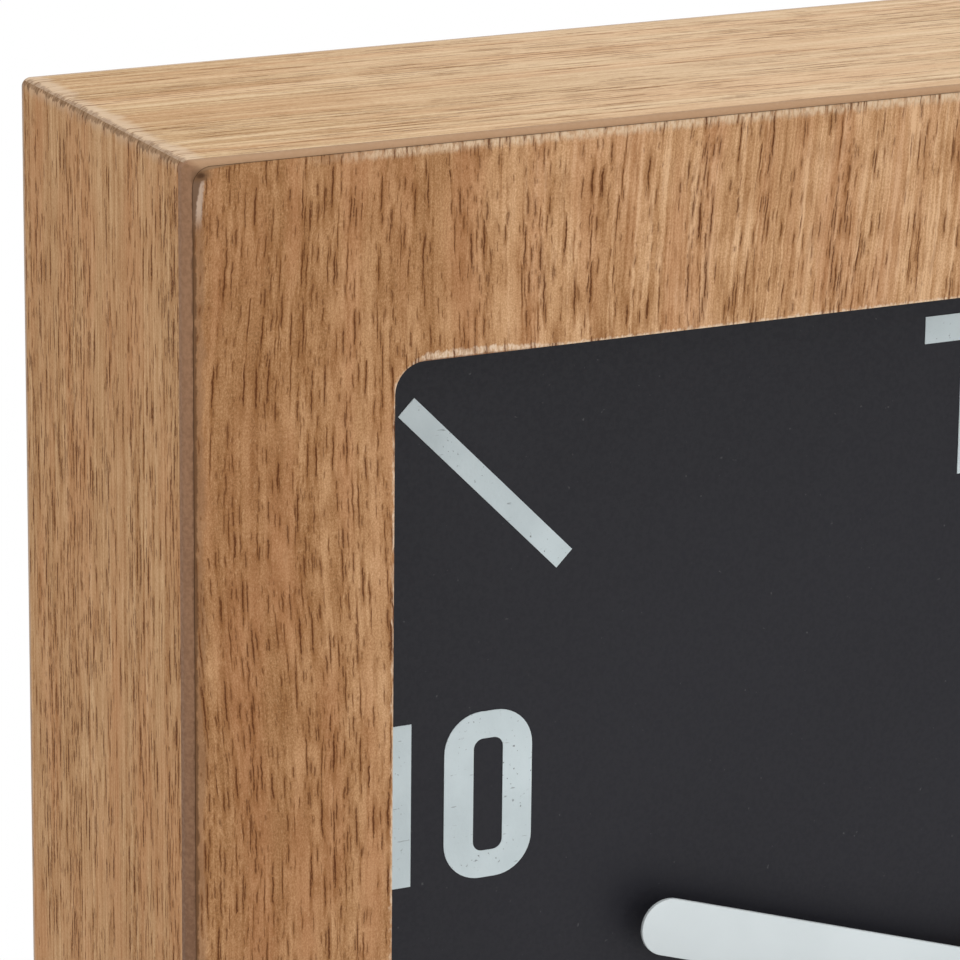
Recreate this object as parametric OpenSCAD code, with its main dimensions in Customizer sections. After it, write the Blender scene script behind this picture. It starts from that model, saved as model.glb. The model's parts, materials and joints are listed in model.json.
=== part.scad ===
// Square table clock: a veneered box case, a printed dial and a battery quartz movement.
// The front faces -Y, +Z is up and the case stands on its bottom veneer at z = 0.

/* [Case] */
// Outside width and height of the square case
case_w = 250; // [230:1:300]
// Outside depth of the case, front veneer included
case_d = 48.5; // [47:0.5:70]
// Width of the border round the window
border_w = 26.1; // [20:0.1:34]
// Depth of the front frame behind its veneer
frame_t = 22; // [19:0.5:24]
// Corner radius of the window
window_r = 3.7; // [2:0.1:12]
// Thickness of the four wall boards
wall_t = 12; // [10:0.5:14]
// Thickness of the wood veneer
veneer_t = 0.5; // [0.3:0.05:0.8]
// Radius of the bare front edge on the left and right
edge_r = 1; // [0.6:0.05:1.4]
// Radius of the bare front edge at the top and bottom
edge_r_top = 0.75; // [0.6:0.05:0.85]
// Distance from the front to the veneer on the left and right faces
edge_side = 1.7; // [1.4:0.1:2.4]
// Distance from the front to the veneer on the top and bottom faces
edge_top = 0.9; // [0.9:0.1:2.4]
// Radius worn on the four long corners of the case
corner_r = 1.1; // [0.5:0.1:1.2]
// Corner radius of the front veneer
sheet_r = 2.2; // [1.2:0.1:3]
// Scribed line left round the front veneer
scribe_gap = 0.06; // [0.04:0.01:0.4]
// Thickness of the back panel
back_t = 3; // [2:0.5:4]
// Distance from the case's back edge in to the back panel
panel_in = 1.8; // [1.6:0.1:2.2]
// Width of the rebate that the back panel lies in
rebate_w = 6; // [5:0.5:7]
// Width and height of the opening in the back panel
access_w = 66; // [62:1:80]
// Corner radius of that opening
access_r = 4; // [2:0.5:8]

/* [Dial] */
// Thickness of the dial board
dial_t = 3; // [2:0.5:4]
// Thickness of the printed ink
print_t = 0.1; // [0.05:0.05:0.2]
// Height of the numerals
digit_h = 21; // [16:0.5:22]
// Reach of round digits past the flat ones, above and below
round_over = 0.3; // [0:0.05:0.4]
// Width of a numeral other than 1
digit_w = 12; // [10:0.5:13]
// Width of the upright strokes
stroke_v = 4; // [3:0.25:4.5]
// Thickness of the level strokes
stroke_h = 3.5; // [2.5:0.25:4]
// Radius of the numerals' outer corners
digit_r = 5; // [2:0.25:5.5]
// Radius of the numerals' counters
counter_r = 1.3; // [0.5:0.1:1.4]
// Length of the flag on the 1
flag_w = 5.4; // [3:0.2:6]
// Space between two digits
digit_gap = 4.5; // [3:0.25:5]
// Width of the hour bars
bar_w = 3; // [2:0.25:4]
// Length of the hour bars
bar_l = 30.5; // [20:0.5:32]
// Clear space from the window's edge to the 12 and the 6
margin_top = 8.7; // [6:0.1:14]
// Clear space from the window's edge to the side numerals
margin_side = 3.8; // [3:0.1:8]
// Clear space from the window's edge to the corner bars
margin_corner = 12.2; // [9:0.1:16]
// Clear space from the window's edge to the bars at 3 and 9
margin_bar = 5; // [3:0.1:8]

/* [Hands] */
// Whole hours that the hands show
hour_count = 9; // [0:1:11]
// Minutes past the hour that the hands show
minute_count = 35.3; // [0:0.1:59.9]
// Length of the hour hand from the centre
hour_l = 58.5; // [45:0.5:64]
// Width of the hour hand
hour_w = 7.5; // [6:0.1:9]
// Length of the minute hand from the centre
minute_l = 84; // [70:0.5:86]
// Width of the minute hand
minute_w = 6.2; // [5:0.2:7]
// Thickness of the hands
hand_t = 0.6; // [0.4:0.1:0.8]
// Radius of the boss on the hour hand
hour_boss_r = 7; // [6:0.25:9]
// Radius of the boss on the minute hand
minute_boss_r = 5.5; // [4.5:0.25:6.5]
// Radius of the domed cap
cap_r = 3.2; // [2.8:0.1:4]

/* [Movement] */
// Width and height of the movement
mv_w = 56; // [55:0.5:58]
// Depth of the movement
mv_d = 16; // [15.6:0.1:17]
// Wall of the movement's two shells
mv_wall = 1.2; // [1:0.1:1.4]
// Radius of the threaded bush
bush_r = 4; // [3.6:0.1:4.4]
// Radius of the hour pipe
hour_pipe_r = 2.55; // [2.4:0.05:2.8]
// Radius of the minute shaft
minute_shaft_r = 1.7; // [1.5:0.05:1.8]
// Running clearance of a shaft in its hole
run_gap = 0.05; // [0.03:0.01:0.08]
// Space from the centre to the motion wheel
motion_dist = 9.6; // [9.4:0.1:10]
// Space from the centre to the third wheel
third_dist = 9.6; // [9.4:0.1:9.8]
// Space from the centre to the intermediate wheel
inter_dist = 9.8; // [9.6:0.1:10]
// Space from the intermediate wheel to the rotor
rotor_dist = 7.9; // [7.6:0.1:8.2]
// Thickness of a wheel
wheel_t = 0.9; // [0.7:0.1:1]
// Radius of the setting knob
knob_r = 5; // [4:0.25:5.5]
// Depth of the setting knob
knob_t = 3.6; // [3:0.2:4]
// Diameter of the battery
battery_dia = 14; // [13.5:0.1:14.2]
// Length of the battery without its nub
battery_l = 49.2; // [48.5:0.1:49.4]
// Radius of the coil
coil_r = 3.1; // [2.8:0.1:3.2]
// Radius of the rotor's magnet
magnet_r = 3; // [2.4:0.1:3.2]

/* [Hidden] */
$fn = 48;

// Cuts run past the faces they open by this much
overrun = 0.5;
half = case_w / 2;
mid_z = case_w / 2;
y_front = -case_d / 2;
y_back = case_d / 2;
core = half - veneer_t;
inner = core - wall_t;
window_half = half - border_w;
y_dial = y_front + veneer_t + frame_t;
y_dial_back = y_dial + dial_t;
y_panel_back = y_back - panel_in;
y_panel = y_panel_back - back_t;

// Loose fit of a board in its place
board_gap = 0.4;
dial_half = inner - board_gap;
rebate = inner + rebate_w;
panel_half = rebate - board_gap;

// Wood screws, used for the dial and for the back panel
screw_r = 1.2;
screw_head_r = 2.5;
screw_head_t = 1.4;
screw_l = 9;
slot_w = 0.6;
screw_gap = 0.05;
screws_a_side = 3;
dial_screw_at = (inner + window_half) / 2;
back_screw_at = inner + rebate_w / 2;

// Stack along the centre line, from the dial forward
washer_t = 0.8;
washer_r = 7.5;
nut_t = 2.2;
nut_r = 6.2;
bush_lead = 0.8;
hand_lead = 0.7;
hand_space = 1.2;
y_washer = y_dial - washer_t;
y_nut = y_washer - nut_t;
y_bush = y_nut - bush_lead;
y_hour = y_bush - hand_lead;
y_hour_front = y_hour - hand_t;
y_minute = y_hour_front - hand_space;
y_minute_front = y_minute - hand_t;
stub_r = 1.2;
stub_l = 1.6;
cap_t = 2.4;
y_cap = y_minute_front - cap_t;
hole_gap = 0.2;

// Stack behind the dial: the rubber washer, then the movement
rubber_t = 0.5;
rubber_r = 9;
y_mv = y_dial_back + rubber_t;
mv_half = mv_w / 2;
mv_in = mv_half - mv_wall;
bush_flange_r = 5.5;
bush_flange_t = 0.8;

// Depths inside the movement, each layer behind the one before
step = 0.4;
d_hour = mv_wall + bush_flange_t + step;
d_motion = d_hour + wheel_t + step;
d_plate = d_motion + wheel_t + step;
plate_t = 1;
d_centre = d_plate + plate_t + step;
shaft_flange_t = 0.3;
d_flange = d_centre + wheel_t + step / 4;
d_shaft_end = d_flange + shaft_flange_t;
d_third = d_shaft_end + step;
d_seconds = d_third + wheel_t + step;
d_inter = d_seconds + wheel_t + step;
d_magnet = d_inter + wheel_t + step;
d_floor = mv_d - mv_wall;
boss_t = 1;
d_boss = d_floor - boss_t;
magnet_t = d_boss - d_magnet - step / 2;
split_share = 0.5;
d_split = mv_d * split_share;

// Arbors and pivots
arbor_r = 0.6;
pivot_r = 0.4;
pivot_l = 0.8;
boss_r = 1.5;
knob_shaft_r = 1.5;

// Teeth on the wheels and pinions
cannon_teeth = 12;
motion_teeth = 36;
motion_leaves = 10;
hour_teeth = 40;
knob_leaves = 12;
centre_teeth = 64;
third_leaves = 8;
third_teeth = 60;
seconds_leaves = 8;
seconds_teeth = 60;
inter_leaves = 10;
inter_teeth = 60;
rotor_leaves = 12;
addendum_share = 0.8;
dedendum_share = 1.15;
tooth_root_share = 0.24;
tooth_pitch_share = 0.21;
tooth_tip_share = 0.10;

// Directions of the wheels from one another, anticlockwise from the right
motion_angle = 60;
knob_angle = 10;
third_angle = 190;
inter_angle = 120;
rotor_angle = 160;
function along(a, r) = [r * cos(a), r * sin(a)];
centre_at = [0, 0];
motion_at = along(motion_angle, motion_dist);
knob_at = motion_at + along(knob_angle, motion_dist * (motion_teeth + knob_leaves)
    / (motion_teeth + cannon_teeth));
third_at = along(third_angle, third_dist);
inter_at = along(inter_angle, inter_dist);
rotor_at = inter_at + along(rotor_angle, rotor_dist);

motion_mod = 2 * motion_dist / (cannon_teeth + motion_teeth);
hour_mod = 2 * motion_dist / (motion_leaves + hour_teeth);
centre_mod = 2 * third_dist / (centre_teeth + third_leaves);
third_mod = 2 * third_dist / (third_teeth + seconds_leaves);
seconds_mod = 2 * inter_dist / (seconds_teeth + inter_leaves);
inter_mod = 2 * rotor_dist / (inter_teeth + rotor_leaves);

// Turn of wheel b that puts a gap against the tooth of wheel a, at angle d from a to b
function mesh_turn(turn_a, teeth_a, d, teeth_b) =
    d + 180 - (0.5 - (d - turn_a) * teeth_a / 360) * 360 / teeth_b;
cannon_turn = 0;
motion_turn = mesh_turn(cannon_turn, cannon_teeth, motion_angle, motion_teeth);
knob_turn = mesh_turn(motion_turn, motion_teeth, knob_angle, knob_leaves);
leaf_turn = 0;
hour_turn = mesh_turn(leaf_turn, motion_leaves, motion_angle + 180, hour_teeth);
centre_turn = 0;
third_turn = mesh_turn(centre_turn, centre_teeth, third_angle, third_leaves);
third_wheel_turn = 0;
seconds_turn = mesh_turn(third_wheel_turn, third_teeth, third_angle + 180, seconds_leaves);
seconds_wheel_turn = 0;
inter_turn = mesh_turn(seconds_wheel_turn, seconds_teeth, inter_angle, inter_leaves);
inter_wheel_turn = 0;
rotor_turn = mesh_turn(inter_wheel_turn, inter_teeth, rotor_angle, rotor_leaves);

// Battery bay at the bottom of the movement
battery_r = battery_dia / 2;
battery_gap = 0.2;
bay_wall = 1;
battery_z = -mv_in + battery_r + battery_gap;
bay_top = battery_z + battery_r + battery_gap;
train_floor = bay_top + bay_wall;
battery_depth = mv_wall + battery_gap + battery_r;
nub_r = 2.7;
nub_l = 1;
contact_t = 0.4;
contact_w = 9;
contact_h = 10;
spring_t = 0.3;

// Posts that carry the middle plate, and thinner ones that stand on it
post_r = 1.5;
post_pin_r = 0.7;
stand_r = 1.1;
post_shift = 6;
post_at = mv_in - post_r - step;
post_low = train_floor + post_r + step;
plate_posts = [[post_at, post_at], [post_at, post_low],
    [-post_at, post_at - post_shift], [-post_at, post_low + post_shift]];

// Motor: a coil on a core, and a stator plate round the rotor
core_w = 2.4;
core_t = 0.9;
coil_x = -mv_in + coil_r + board_gap;
coil_depth = d_floor - coil_r - step / 2;
core_low = [coil_x, post_low];
core_high = [coil_x, post_at];
coil_low = post_low + stand_r + step;
coil_high = post_at - stand_r - step;
stator_x = coil_x + coil_r + core_w / 2 + step;
flange_t = 0.8;
bobbin_r = 1.9;
stator_t = 0.8;
stator_hole_r = magnet_r + step;
stator_ring_r = stator_hole_r + 2 * stator_t;

// Circuit board on two posts of its own
board_w = 16;
board_h = 12;
board_t = 1;
board_low = [mv_in - board_gap - board_w, train_floor + board_gap];
board_posts = [board_low + [post_r + step, board_h / 2],
    board_low + [board_w - 2 * post_r, board_h - 2 * post_r]];
d_board = d_inter;
chip_r = 3;
chip_t = 1.1;
crystal_r = 1;
crystal_l = 6;

hour_angle = 30 * hour_count + minute_count / 2;
minute_angle = 6 * minute_count;

// A flat outline drawn as seen from the front, round the dial's centre, and its depth
module slab(y0, y1) {
    translate([0, y1, mid_z]) rotate([90, 0, 0]) linear_extrude(y1 - y0) children();
}

// A round bar along the depth of the clock
module rod(at, r, y0, y1) {
    slab(y0, y1) translate(at) circle(r);
}

module rounded(w, h, r) {
    square([w, h - 2 * r], center = true);
    square([w - 2 * r, h], center = true);
    for (x = [-1, 1], y = [-1, 1])
        translate([x * (w / 2 - r), y * (h / 2 - r)]) circle(r);
}

// A straight strip from a to b
module strip(a, b, w) {
    n = (b - a) / norm(b - a) * w / 2;
    polygon([a + [n.y, -n.x], b + [n.y, -n.x], b + [-n.y, n.x], a + [-n.y, n.x]]);
}

function tooth(k, teeth, mod, turn) = let (
        r = teeth * mod / 2, pitch = 360 / teeth, a = turn + k * pitch,
        low = r - dedendum_share * mod, high = r + addendum_share * mod)
    [along(a - tooth_root_share * pitch, low), along(a - tooth_pitch_share * pitch, r),
     along(a - tooth_tip_share * pitch, high), along(a + tooth_tip_share * pitch, high),
     along(a + tooth_pitch_share * pitch, r), along(a + tooth_root_share * pitch, low)];

module toothed(teeth, mod, turn) {
    polygon([for (k = [0 : teeth - 1], p = tooth(k, teeth, mod, turn)) p]);
}

// A gear at its depth inside the movement
module gear(at, teeth, mod, turn, depth, t) {
    slab(y_mv + depth, y_mv + depth + t) translate(at) toothed(teeth, mod, turn);
}

module mv_rod(at, r, d0, d1) {
    rod(at, r, y_mv + d0, y_mv + d1);
}

module mv_slab(d0, d1) {
    slab(y_mv + d0, y_mv + d1) children();
}

// Case
module outer_shape() {
    rounded(case_w, case_w, corner_r);
}

// Outline of the frame across its depth, its two front corners rounded
module edge_outline(r) {
    depth = y_dial - y_front;
    translate([y_front + r, 0]) square([depth - r, case_w]);
    translate([y_front, r]) square([depth, case_w - 2 * r]);
    for (z = [r, case_w - r]) translate([y_front + r, z]) circle(r);
}

// Frame core: it reaches the outer faces only in the bare rounded edge at the front
module frame_core() {
    intersection() {
        slab(y_front, y_dial) outer_shape();
        translate([-half, 0, 0]) rotate([90, 0, 90]) linear_extrude(case_w) edge_outline(edge_r_top);
        translate([0, 0, mid_z]) rotate([0, 90, 0]) translate([-half, 0, -half])
            rotate([90, 0, 90]) linear_extrude(case_w) edge_outline(edge_r);
    }
}

module window_shape() {
    rounded(2 * window_half, 2 * window_half, window_r);
}

module veneer_shape(gap) {
    rounded(case_w - 2 * (edge_r + gap), case_w - 2 * (edge_r_top + gap), sheet_r - gap);
}

// Places for screws along the four sides, at a from the centre
function side_places(a) = [
    for (k = [1 : screws_a_side], s = [-1, 1]) [s * a, a * (2 * k - screws_a_side - 1) / screws_a_side],
    for (k = [1 : screws_a_side], s = [-1, 1]) [a * (2 * k - screws_a_side - 1) / screws_a_side, s * a]
];

// One mitred side of a square ring, at the top before it is turned
module mitred(out, in) {
    polygon([[-out, out], [-in, in], [in, in], [out, out]]);
}

module front_frame() {
    color("#7d6a58") difference() {
        frame_core();
        slab(y_front - overrun, y_front + veneer_t) veneer_shape(0);
        for (turn = [90, 270])
            slab(y_front + edge_side, y_dial + overrun) rotate(turn) mitred(half + overrun, core);
        for (turn = [0, 180])
            slab(y_front + edge_top, y_dial + overrun) rotate(turn) mitred(half + overrun, core);
        slab(y_front - overrun, y_dial + overrun) window_shape();
        for (p = side_places(dial_screw_at))
            rod(p, screw_r + screw_gap, y_dial_back - screw_l, y_dial + overrun);
    }
}

module front_veneer() {
    color("#a9774b") slab(y_front, y_front + veneer_t) difference() {
        veneer_shape(scribe_gap);
        window_shape();
    }
}

module wall(turn) {
    color("#8a7560") difference() {
        union() {
            slab(y_dial, y_panel) rotate(turn) mitred(core, inner);
            slab(y_panel, y_back) rotate(turn) mitred(core, rebate);
        }
        for (p = side_places(back_screw_at))
            rod(p, screw_r + screw_gap, y_panel_back - screw_l, y_panel + overrun);
    }
}

module top_wall() wall(0);
module left_wall() wall(90);
module bottom_wall() wall(180);
module right_wall() wall(270);

module side_veneer(turn, edge) {
    slab(y_front + edge, y_back) rotate(turn) intersection() {
        mitred(half, core);
        outer_shape();
    }
}

module top_veneer() color("#c2996b") side_veneer(0, edge_top);
module left_veneer() color("#b58a5e") side_veneer(90, edge_side);
module bottom_veneer() color("#c2996b") side_veneer(180, edge_top);
module right_veneer() color("#b58a5e") side_veneer(270, edge_side);

module back_panel() {
    color("#6b543f") slab(y_panel, y_panel_back) difference() {
        square(2 * panel_half, center = true);
        rounded(access_w, access_w, access_r);
        for (p = side_places(back_screw_at)) translate(p) circle(screw_r + hole_gap);
    }
}

// Slotted round-head wood screw, its head standing on the face at y, driven forward
module wood_screw(at, y) {
    difference() {
        union() {
            rod(at, screw_r, y - screw_l, y);
            rod(at, screw_head_r, y, y + screw_head_t);
        }
        slab(y + screw_head_t / 2, y + screw_head_t + overrun) translate(at)
            square([2 * screw_head_r + overrun, slot_w], center = true);
    }
}

module back_screws() {
    color("#b9b6ae") for (p = side_places(back_screw_at)) wood_screw(p, y_panel_back);
}

module dial_screws() {
    color("#b9b6ae") for (p = side_places(dial_screw_at)) wood_screw(p, y_dial_back);
}

// Dial
module dial_board() {
    color("#323236") slab(y_dial, y_dial_back) difference() {
        square(2 * dial_half, center = true);
        circle(bush_r + hole_gap);
        for (p = side_places(dial_screw_at)) translate(p) circle(screw_r + hole_gap);
    }
}

counter_w = digit_w - 2 * stroke_v;
round_h = digit_h + 2 * round_over;
// Height of the bowls of the 8, the 6 and the 2, and the space over the bowl of the 6
bowl_h = (round_h + stroke_h) / 2;
bowl_z = (round_h - bowl_h) / 2;
hook_gap = 2.4;

module ring(h) {
    difference() {
        rounded(digit_w, h, digit_r);
        rounded(counter_w, h - 2 * stroke_h, counter_r);
    }
}

module digit_0() ring(round_h);

module digit_1() {
    translate([digit_w / 2 - stroke_v, -digit_h / 2]) square([stroke_v, digit_h]);
    translate([digit_w / 2 - stroke_v - flag_w, digit_h / 2 - stroke_h])
        square([flag_w + stroke_v, stroke_h]);
}

module digit_8() {
    for (s = [-1, 1]) translate([0, s * bowl_z]) ring(bowl_h);
}

module digit_6() {
    translate([0, -bowl_z]) ring(bowl_h);
    difference() {
        ring(round_h);
        translate([-counter_w / 2, -round_h / 2]) square([digit_w, bowl_h + hook_gap]);
    }
}

module digit_2() {
    // Upper hook
    intersection() {
        translate([0, bowl_z]) ring(bowl_h);
        union() {
            translate([-digit_w / 2, bowl_z + counter_r]) square([digit_w, bowl_h]);
            translate([0, bowl_z]) square([digit_w / 2, bowl_h]);
        }
    }
    // Slanting stroke down to the foot
    polygon([
        [digit_w / 2, bowl_z],
        [digit_w / 2 - stroke_v, bowl_z],
        [-digit_w / 2, stroke_h - digit_h / 2],
        [-digit_w / 2, -digit_h / 2],
        [stroke_v - digit_w / 2 + stroke_h / 2, stroke_h - digit_h / 2]
    ]);
    translate([-digit_w / 2, -digit_h / 2]) square([digit_w, stroke_h]);
}

// The 4: height of its foot, end of its crossbar, width of its top and of its slanting stroke
foot_h = digit_h / 4;
four_tail = 1.8;
four_top = 1;
slant_w = 3.6;

module digit_4() {
    stem_x = digit_w / 2 - four_tail - stroke_v;
    bar_z = foot_h - digit_h / 2;
    sill = bar_z + stroke_h;
    counter_x = slant_w - digit_w / 2;
    lean = (stem_x - four_top + digit_w / 2) / (digit_h / 2 - sill);
    translate([stem_x, -digit_h / 2]) square([stroke_v, digit_h]);
    translate([-digit_w / 2, bar_z]) square([digit_w, stroke_h]);
    difference() {
        polygon([[-digit_w / 2, sill], [stem_x - four_top, digit_h / 2],
            [stem_x + stroke_v, digit_h / 2], [stem_x + stroke_v, sill]]);
        polygon([[counter_x - lean * overrun, sill - overrun], [stem_x, sill - overrun],
            [stem_x, sill + (stem_x - counter_x) / lean]]);
    }
}

pair_w = flag_w + stroke_v + digit_gap + digit_w;
// Right-hand digit of a pair from the pair's centre, and the 1 beside it
pair_right = (pair_w - digit_w) / 2;
pair_left = pair_right - digit_gap - digit_w;
numeral_z = window_half - margin_top - digit_h / 2;
numeral_x = window_half - margin_side - pair_w / 2;
// Height of the side numerals over the centre, as a share of the window
side_share = 0.365;
side_z = side_share * window_half;
// The 12 stands a little to the left, which centres its stem and digit by eye
twelve_shift = -flag_w / 3;

module dial_numerals() {
    color("#c3cfd1") slab(y_dial - print_t, y_dial) {
        translate([twelve_shift, numeral_z]) {
            translate([pair_left, 0]) digit_1();
            translate([pair_right, 0]) digit_2();
        }
        translate([0, -numeral_z]) digit_6();
        translate([-numeral_x, side_z]) {
            translate([pair_left, 0]) digit_1();
            translate([pair_right, 0]) digit_0();
        }
        translate([-numeral_x, -side_z]) digit_8();
        translate([numeral_x, side_z]) digit_2();
        translate([numeral_x, -side_z]) digit_4();
    }
}

corner_reach = (window_half - margin_corner) * sqrt(2);
side_reach = window_half - margin_bar;

module hour_bars() {
    color("#c3cfd1") slab(y_dial - print_t, y_dial) {
        for (a = [45, 135, 225, 315]) rotate(a)
            translate([corner_reach - bar_l, -bar_w / 2]) square([bar_l, bar_w]);
        for (a = [0, 180]) rotate(a)
            translate([side_reach - bar_l, -bar_w / 2]) square([bar_l, bar_w]);
    }
}

// Parts on the bush
module rubber_washer() {
    color("#222222") slab(y_dial_back, y_mv) difference() {
        circle(rubber_r);
        circle(bush_r + hole_gap);
    }
}

module dial_washer() {
    color("#b08d4c") slab(y_washer, y_dial) difference() {
        circle(washer_r);
        circle(bush_r + hole_gap);
    }
}

module fixing_nut() {
    color("#b08d4c") slab(y_nut, y_washer) difference() {
        circle(nut_r, $fn = 6);
        circle(bush_r + run_gap);
    }
}

module threaded_bush() {
    color("#c2a05a") difference() {
        union() {
            rod(centre_at, bush_r, y_bush, y_mv + mv_wall);
            mv_rod(centre_at, bush_flange_r, mv_wall, mv_wall + bush_flange_t);
        }
        rod(centre_at, hour_pipe_r + run_gap, y_bush - overrun, y_mv + d_hour);
    }
}

// Movement shells
module mv_ring(d0, d1) {
    mv_slab(d0, d1) difference() {
        square(mv_w, center = true);
        square(2 * mv_in, center = true);
    }
}

module movement_front() {
    color("#2b2b2d") difference() {
        union() {
            mv_slab(0, mv_wall) square(mv_w, center = true);
            mv_ring(mv_wall - overrun, d_split);
            for (p = plate_posts) {
                mv_rod(p, post_r, mv_wall - overrun, d_plate);
                mv_rod(p, post_pin_r, d_plate - overrun, d_plate + plate_t + step);
            }
        }
        mv_rod(centre_at, bush_r + run_gap, -overrun, mv_wall + overrun);
        mv_rod(motion_at, pivot_r + run_gap, mv_wall - pivot_l, mv_wall + overrun);
        mv_rod(knob_at, pivot_r + run_gap, mv_wall - pivot_l, mv_wall + overrun);
    }
}

module movement_back() {
    color("#2b2b2d") difference() {
        union() {
            mv_ring(d_split, d_floor + overrun);
            mv_slab(d_floor, mv_d) square(mv_w, center = true);
            // Wall between the train and the battery, free of the front shell
            mv_slab(mv_wall + step, d_floor + overrun) translate([hole_gap - mv_in, bay_top])
                square([2 * (mv_in - hole_gap), bay_wall]);
            mv_slab(d_split, d_floor + overrun) translate([-mv_in - overrun, bay_top])
                square([2 * (mv_in + overrun), bay_wall]);
            for (p = [centre_at, third_at, inter_at, rotor_at])
                mv_rod(p, boss_r, d_boss, d_floor + overrun);
        }
        for (p = [centre_at, third_at, inter_at, rotor_at])
            mv_rod(p, pivot_r + run_gap, d_boss - overrun, d_boss + pivot_l + step);
        mv_rod(knob_at, knob_shaft_r + run_gap, d_floor - overrun, mv_d + overrun);
        mv_slab(d_floor - overrun, mv_d + overrun) translate([-mv_in, -mv_in])
            square([2 * mv_in, bay_top + mv_in]);
    }
}

module plate_hole(at, r) {
    mv_rod(at, r, d_plate - overrun, d_plate + plate_t + overrun);
}

module middle_plate() {
    color("#e4e1d8") difference() {
        union() {
            mv_slab(d_plate, d_plate + plate_t)
                translate([-mv_in + board_gap, train_floor + board_gap])
                    square([2 * (mv_in - board_gap), mv_in - train_floor - 2 * board_gap]);
            for (p = [core_low, core_high]) {
                mv_rod(p, stand_r, d_plate, coil_depth - core_t / 2);
                mv_rod(p, post_pin_r, d_plate, coil_depth + core_t / 2 + stator_t);
            }
            for (p = board_posts) mv_rod(p, stand_r, d_plate, d_board);
        }
        for (p = plate_posts) plate_hole(p, post_pin_r + hole_gap);
        for (p = [motion_at, third_at, inter_at, rotor_at]) plate_hole(p, pivot_r + run_gap);
        plate_hole(centre_at, minute_shaft_r + run_gap);
        plate_hole(knob_at, knob_shaft_r + run_gap);
    }
}

// Hands and the wheels that carry them
module hour_wheel() {
    color("#e8e6df") difference() {
        union() {
            gear(centre_at, hour_teeth, hour_mod, hour_turn, d_hour, wheel_t);
            rod(centre_at, hour_pipe_r, y_hour_front, y_mv + d_hour + wheel_t);
        }
        rod(centre_at, minute_shaft_r + run_gap, y_hour_front - overrun,
            y_mv + d_hour + wheel_t + overrun);
    }
}

module hand_shape(len, w, boss) {
    translate([-w / 2, 0]) square([w, len - w / 2]);
    translate([0, len - w / 2]) circle(w / 2);
    circle(boss);
}

module hour_hand() {
    color("#cfdadb") slab(y_hour_front, y_hour) difference() {
        rotate(-hour_angle) hand_shape(hour_l, hour_w, hour_boss_r);
        circle(hour_pipe_r + screw_gap / 2);
    }
}

module minute_shaft() {
    color("#c2a05a") difference() {
        union() {
            rod(centre_at, minute_shaft_r, y_minute, y_mv + d_shaft_end);
            rod(centre_at, stub_r, y_minute_front - stub_l, y_minute + overrun);
            gear(centre_at, cannon_teeth, motion_mod, cannon_turn, d_motion, wheel_t);
            mv_rod(centre_at, minute_shaft_r + shaft_flange_t, d_flange, d_shaft_end);
        }
        mv_rod(centre_at, pivot_r + run_gap, d_shaft_end - pivot_l - step, d_shaft_end + overrun);
    }
}

module minute_hand() {
    color("#cfdadb") slab(y_minute_front, y_minute) difference() {
        rotate(-minute_angle) hand_shape(minute_l, minute_w, minute_boss_r);
        circle(stub_r + screw_gap / 2);
    }
}

// Domed cap screwed on the end of the minute shaft
module hand_cap() {
    dome_r = (cap_r * cap_r + cap_t * cap_t / 4) / cap_t;
    color("#cfdadb") difference() {
        translate([0, y_minute_front, mid_z]) rotate([90, 0, 0]) rotate_extrude() intersection() {
            union() {
                square([cap_r, cap_t / 2]);
                translate([0, cap_t - dome_r]) circle(dome_r);
            }
            square([cap_r, cap_t]);
        }
        rod(centre_at, stub_r + screw_gap, y_minute_front - stub_l - screw_gap, y_minute_front + overrun);
    }
}

// Wheels inside the movement
module motion_wheel() {
    color("#d8d4c6") {
        gear(motion_at, motion_teeth, motion_mod, motion_turn, d_motion, wheel_t);
        gear(motion_at, motion_leaves, hour_mod, leaf_turn, d_hour - step / 2, wheel_t + 1.5 * step);
        mv_rod(motion_at, pivot_r, mv_wall - pivot_l + step / 4, d_plate + plate_t);
        mv_rod(motion_at, arbor_r, mv_wall + step / 4, d_plate - step / 4);
    }
}

module set_knob() {
    color("#3a3a3c") {
        gear(knob_at, knob_leaves, motion_mod, knob_turn, d_motion - step / 2, wheel_t + step);
        mv_rod(knob_at, pivot_r, mv_wall - pivot_l + step / 4, d_motion);
        mv_rod(knob_at, knob_shaft_r, mv_wall + step / 4, mv_d + step + knob_t);
        mv_slab(mv_d + step, mv_d + step + knob_t) translate(knob_at) grip_shape();
    }
}

grips = 24;
grip_depth = 0.4;

module grip_shape() {
    difference() {
        circle(knob_r);
        for (k = [0 : grips - 1]) rotate(k * 360 / grips) translate([knob_r, 0]) rotate(45)
            square(grip_depth * 2, center = true);
    }
}

// Arbor with a pinion and a wheel, pivoted in the middle plate and in the back shell
module train_wheel(at, leaves, leaf_mod, leaf_turn, d_leaf, teeth, wheel_mod, wheel_turn, d_wheel) {
    gear(at, leaves, leaf_mod, leaf_turn, d_leaf - step / 4, wheel_t + step / 2);
    gear(at, teeth, wheel_mod, wheel_turn, d_wheel, wheel_t);
    mv_rod(at, arbor_r, d_plate + plate_t + step / 4, d_boss - step / 4);
    mv_rod(at, pivot_r, d_plate + step / 4, d_boss + pivot_l);
}

module centre_wheel() {
    color("#d8c08a") mv_slab(d_centre, d_centre + wheel_t) difference() {
        toothed(centre_teeth, centre_mod, centre_turn);
        circle(minute_shaft_r + run_gap);
    }
}

module third_wheel() {
    color("#e8e6df") train_wheel(third_at, third_leaves, centre_mod, third_turn, d_centre,
        third_teeth, third_mod, third_wheel_turn, d_third);
}

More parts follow.
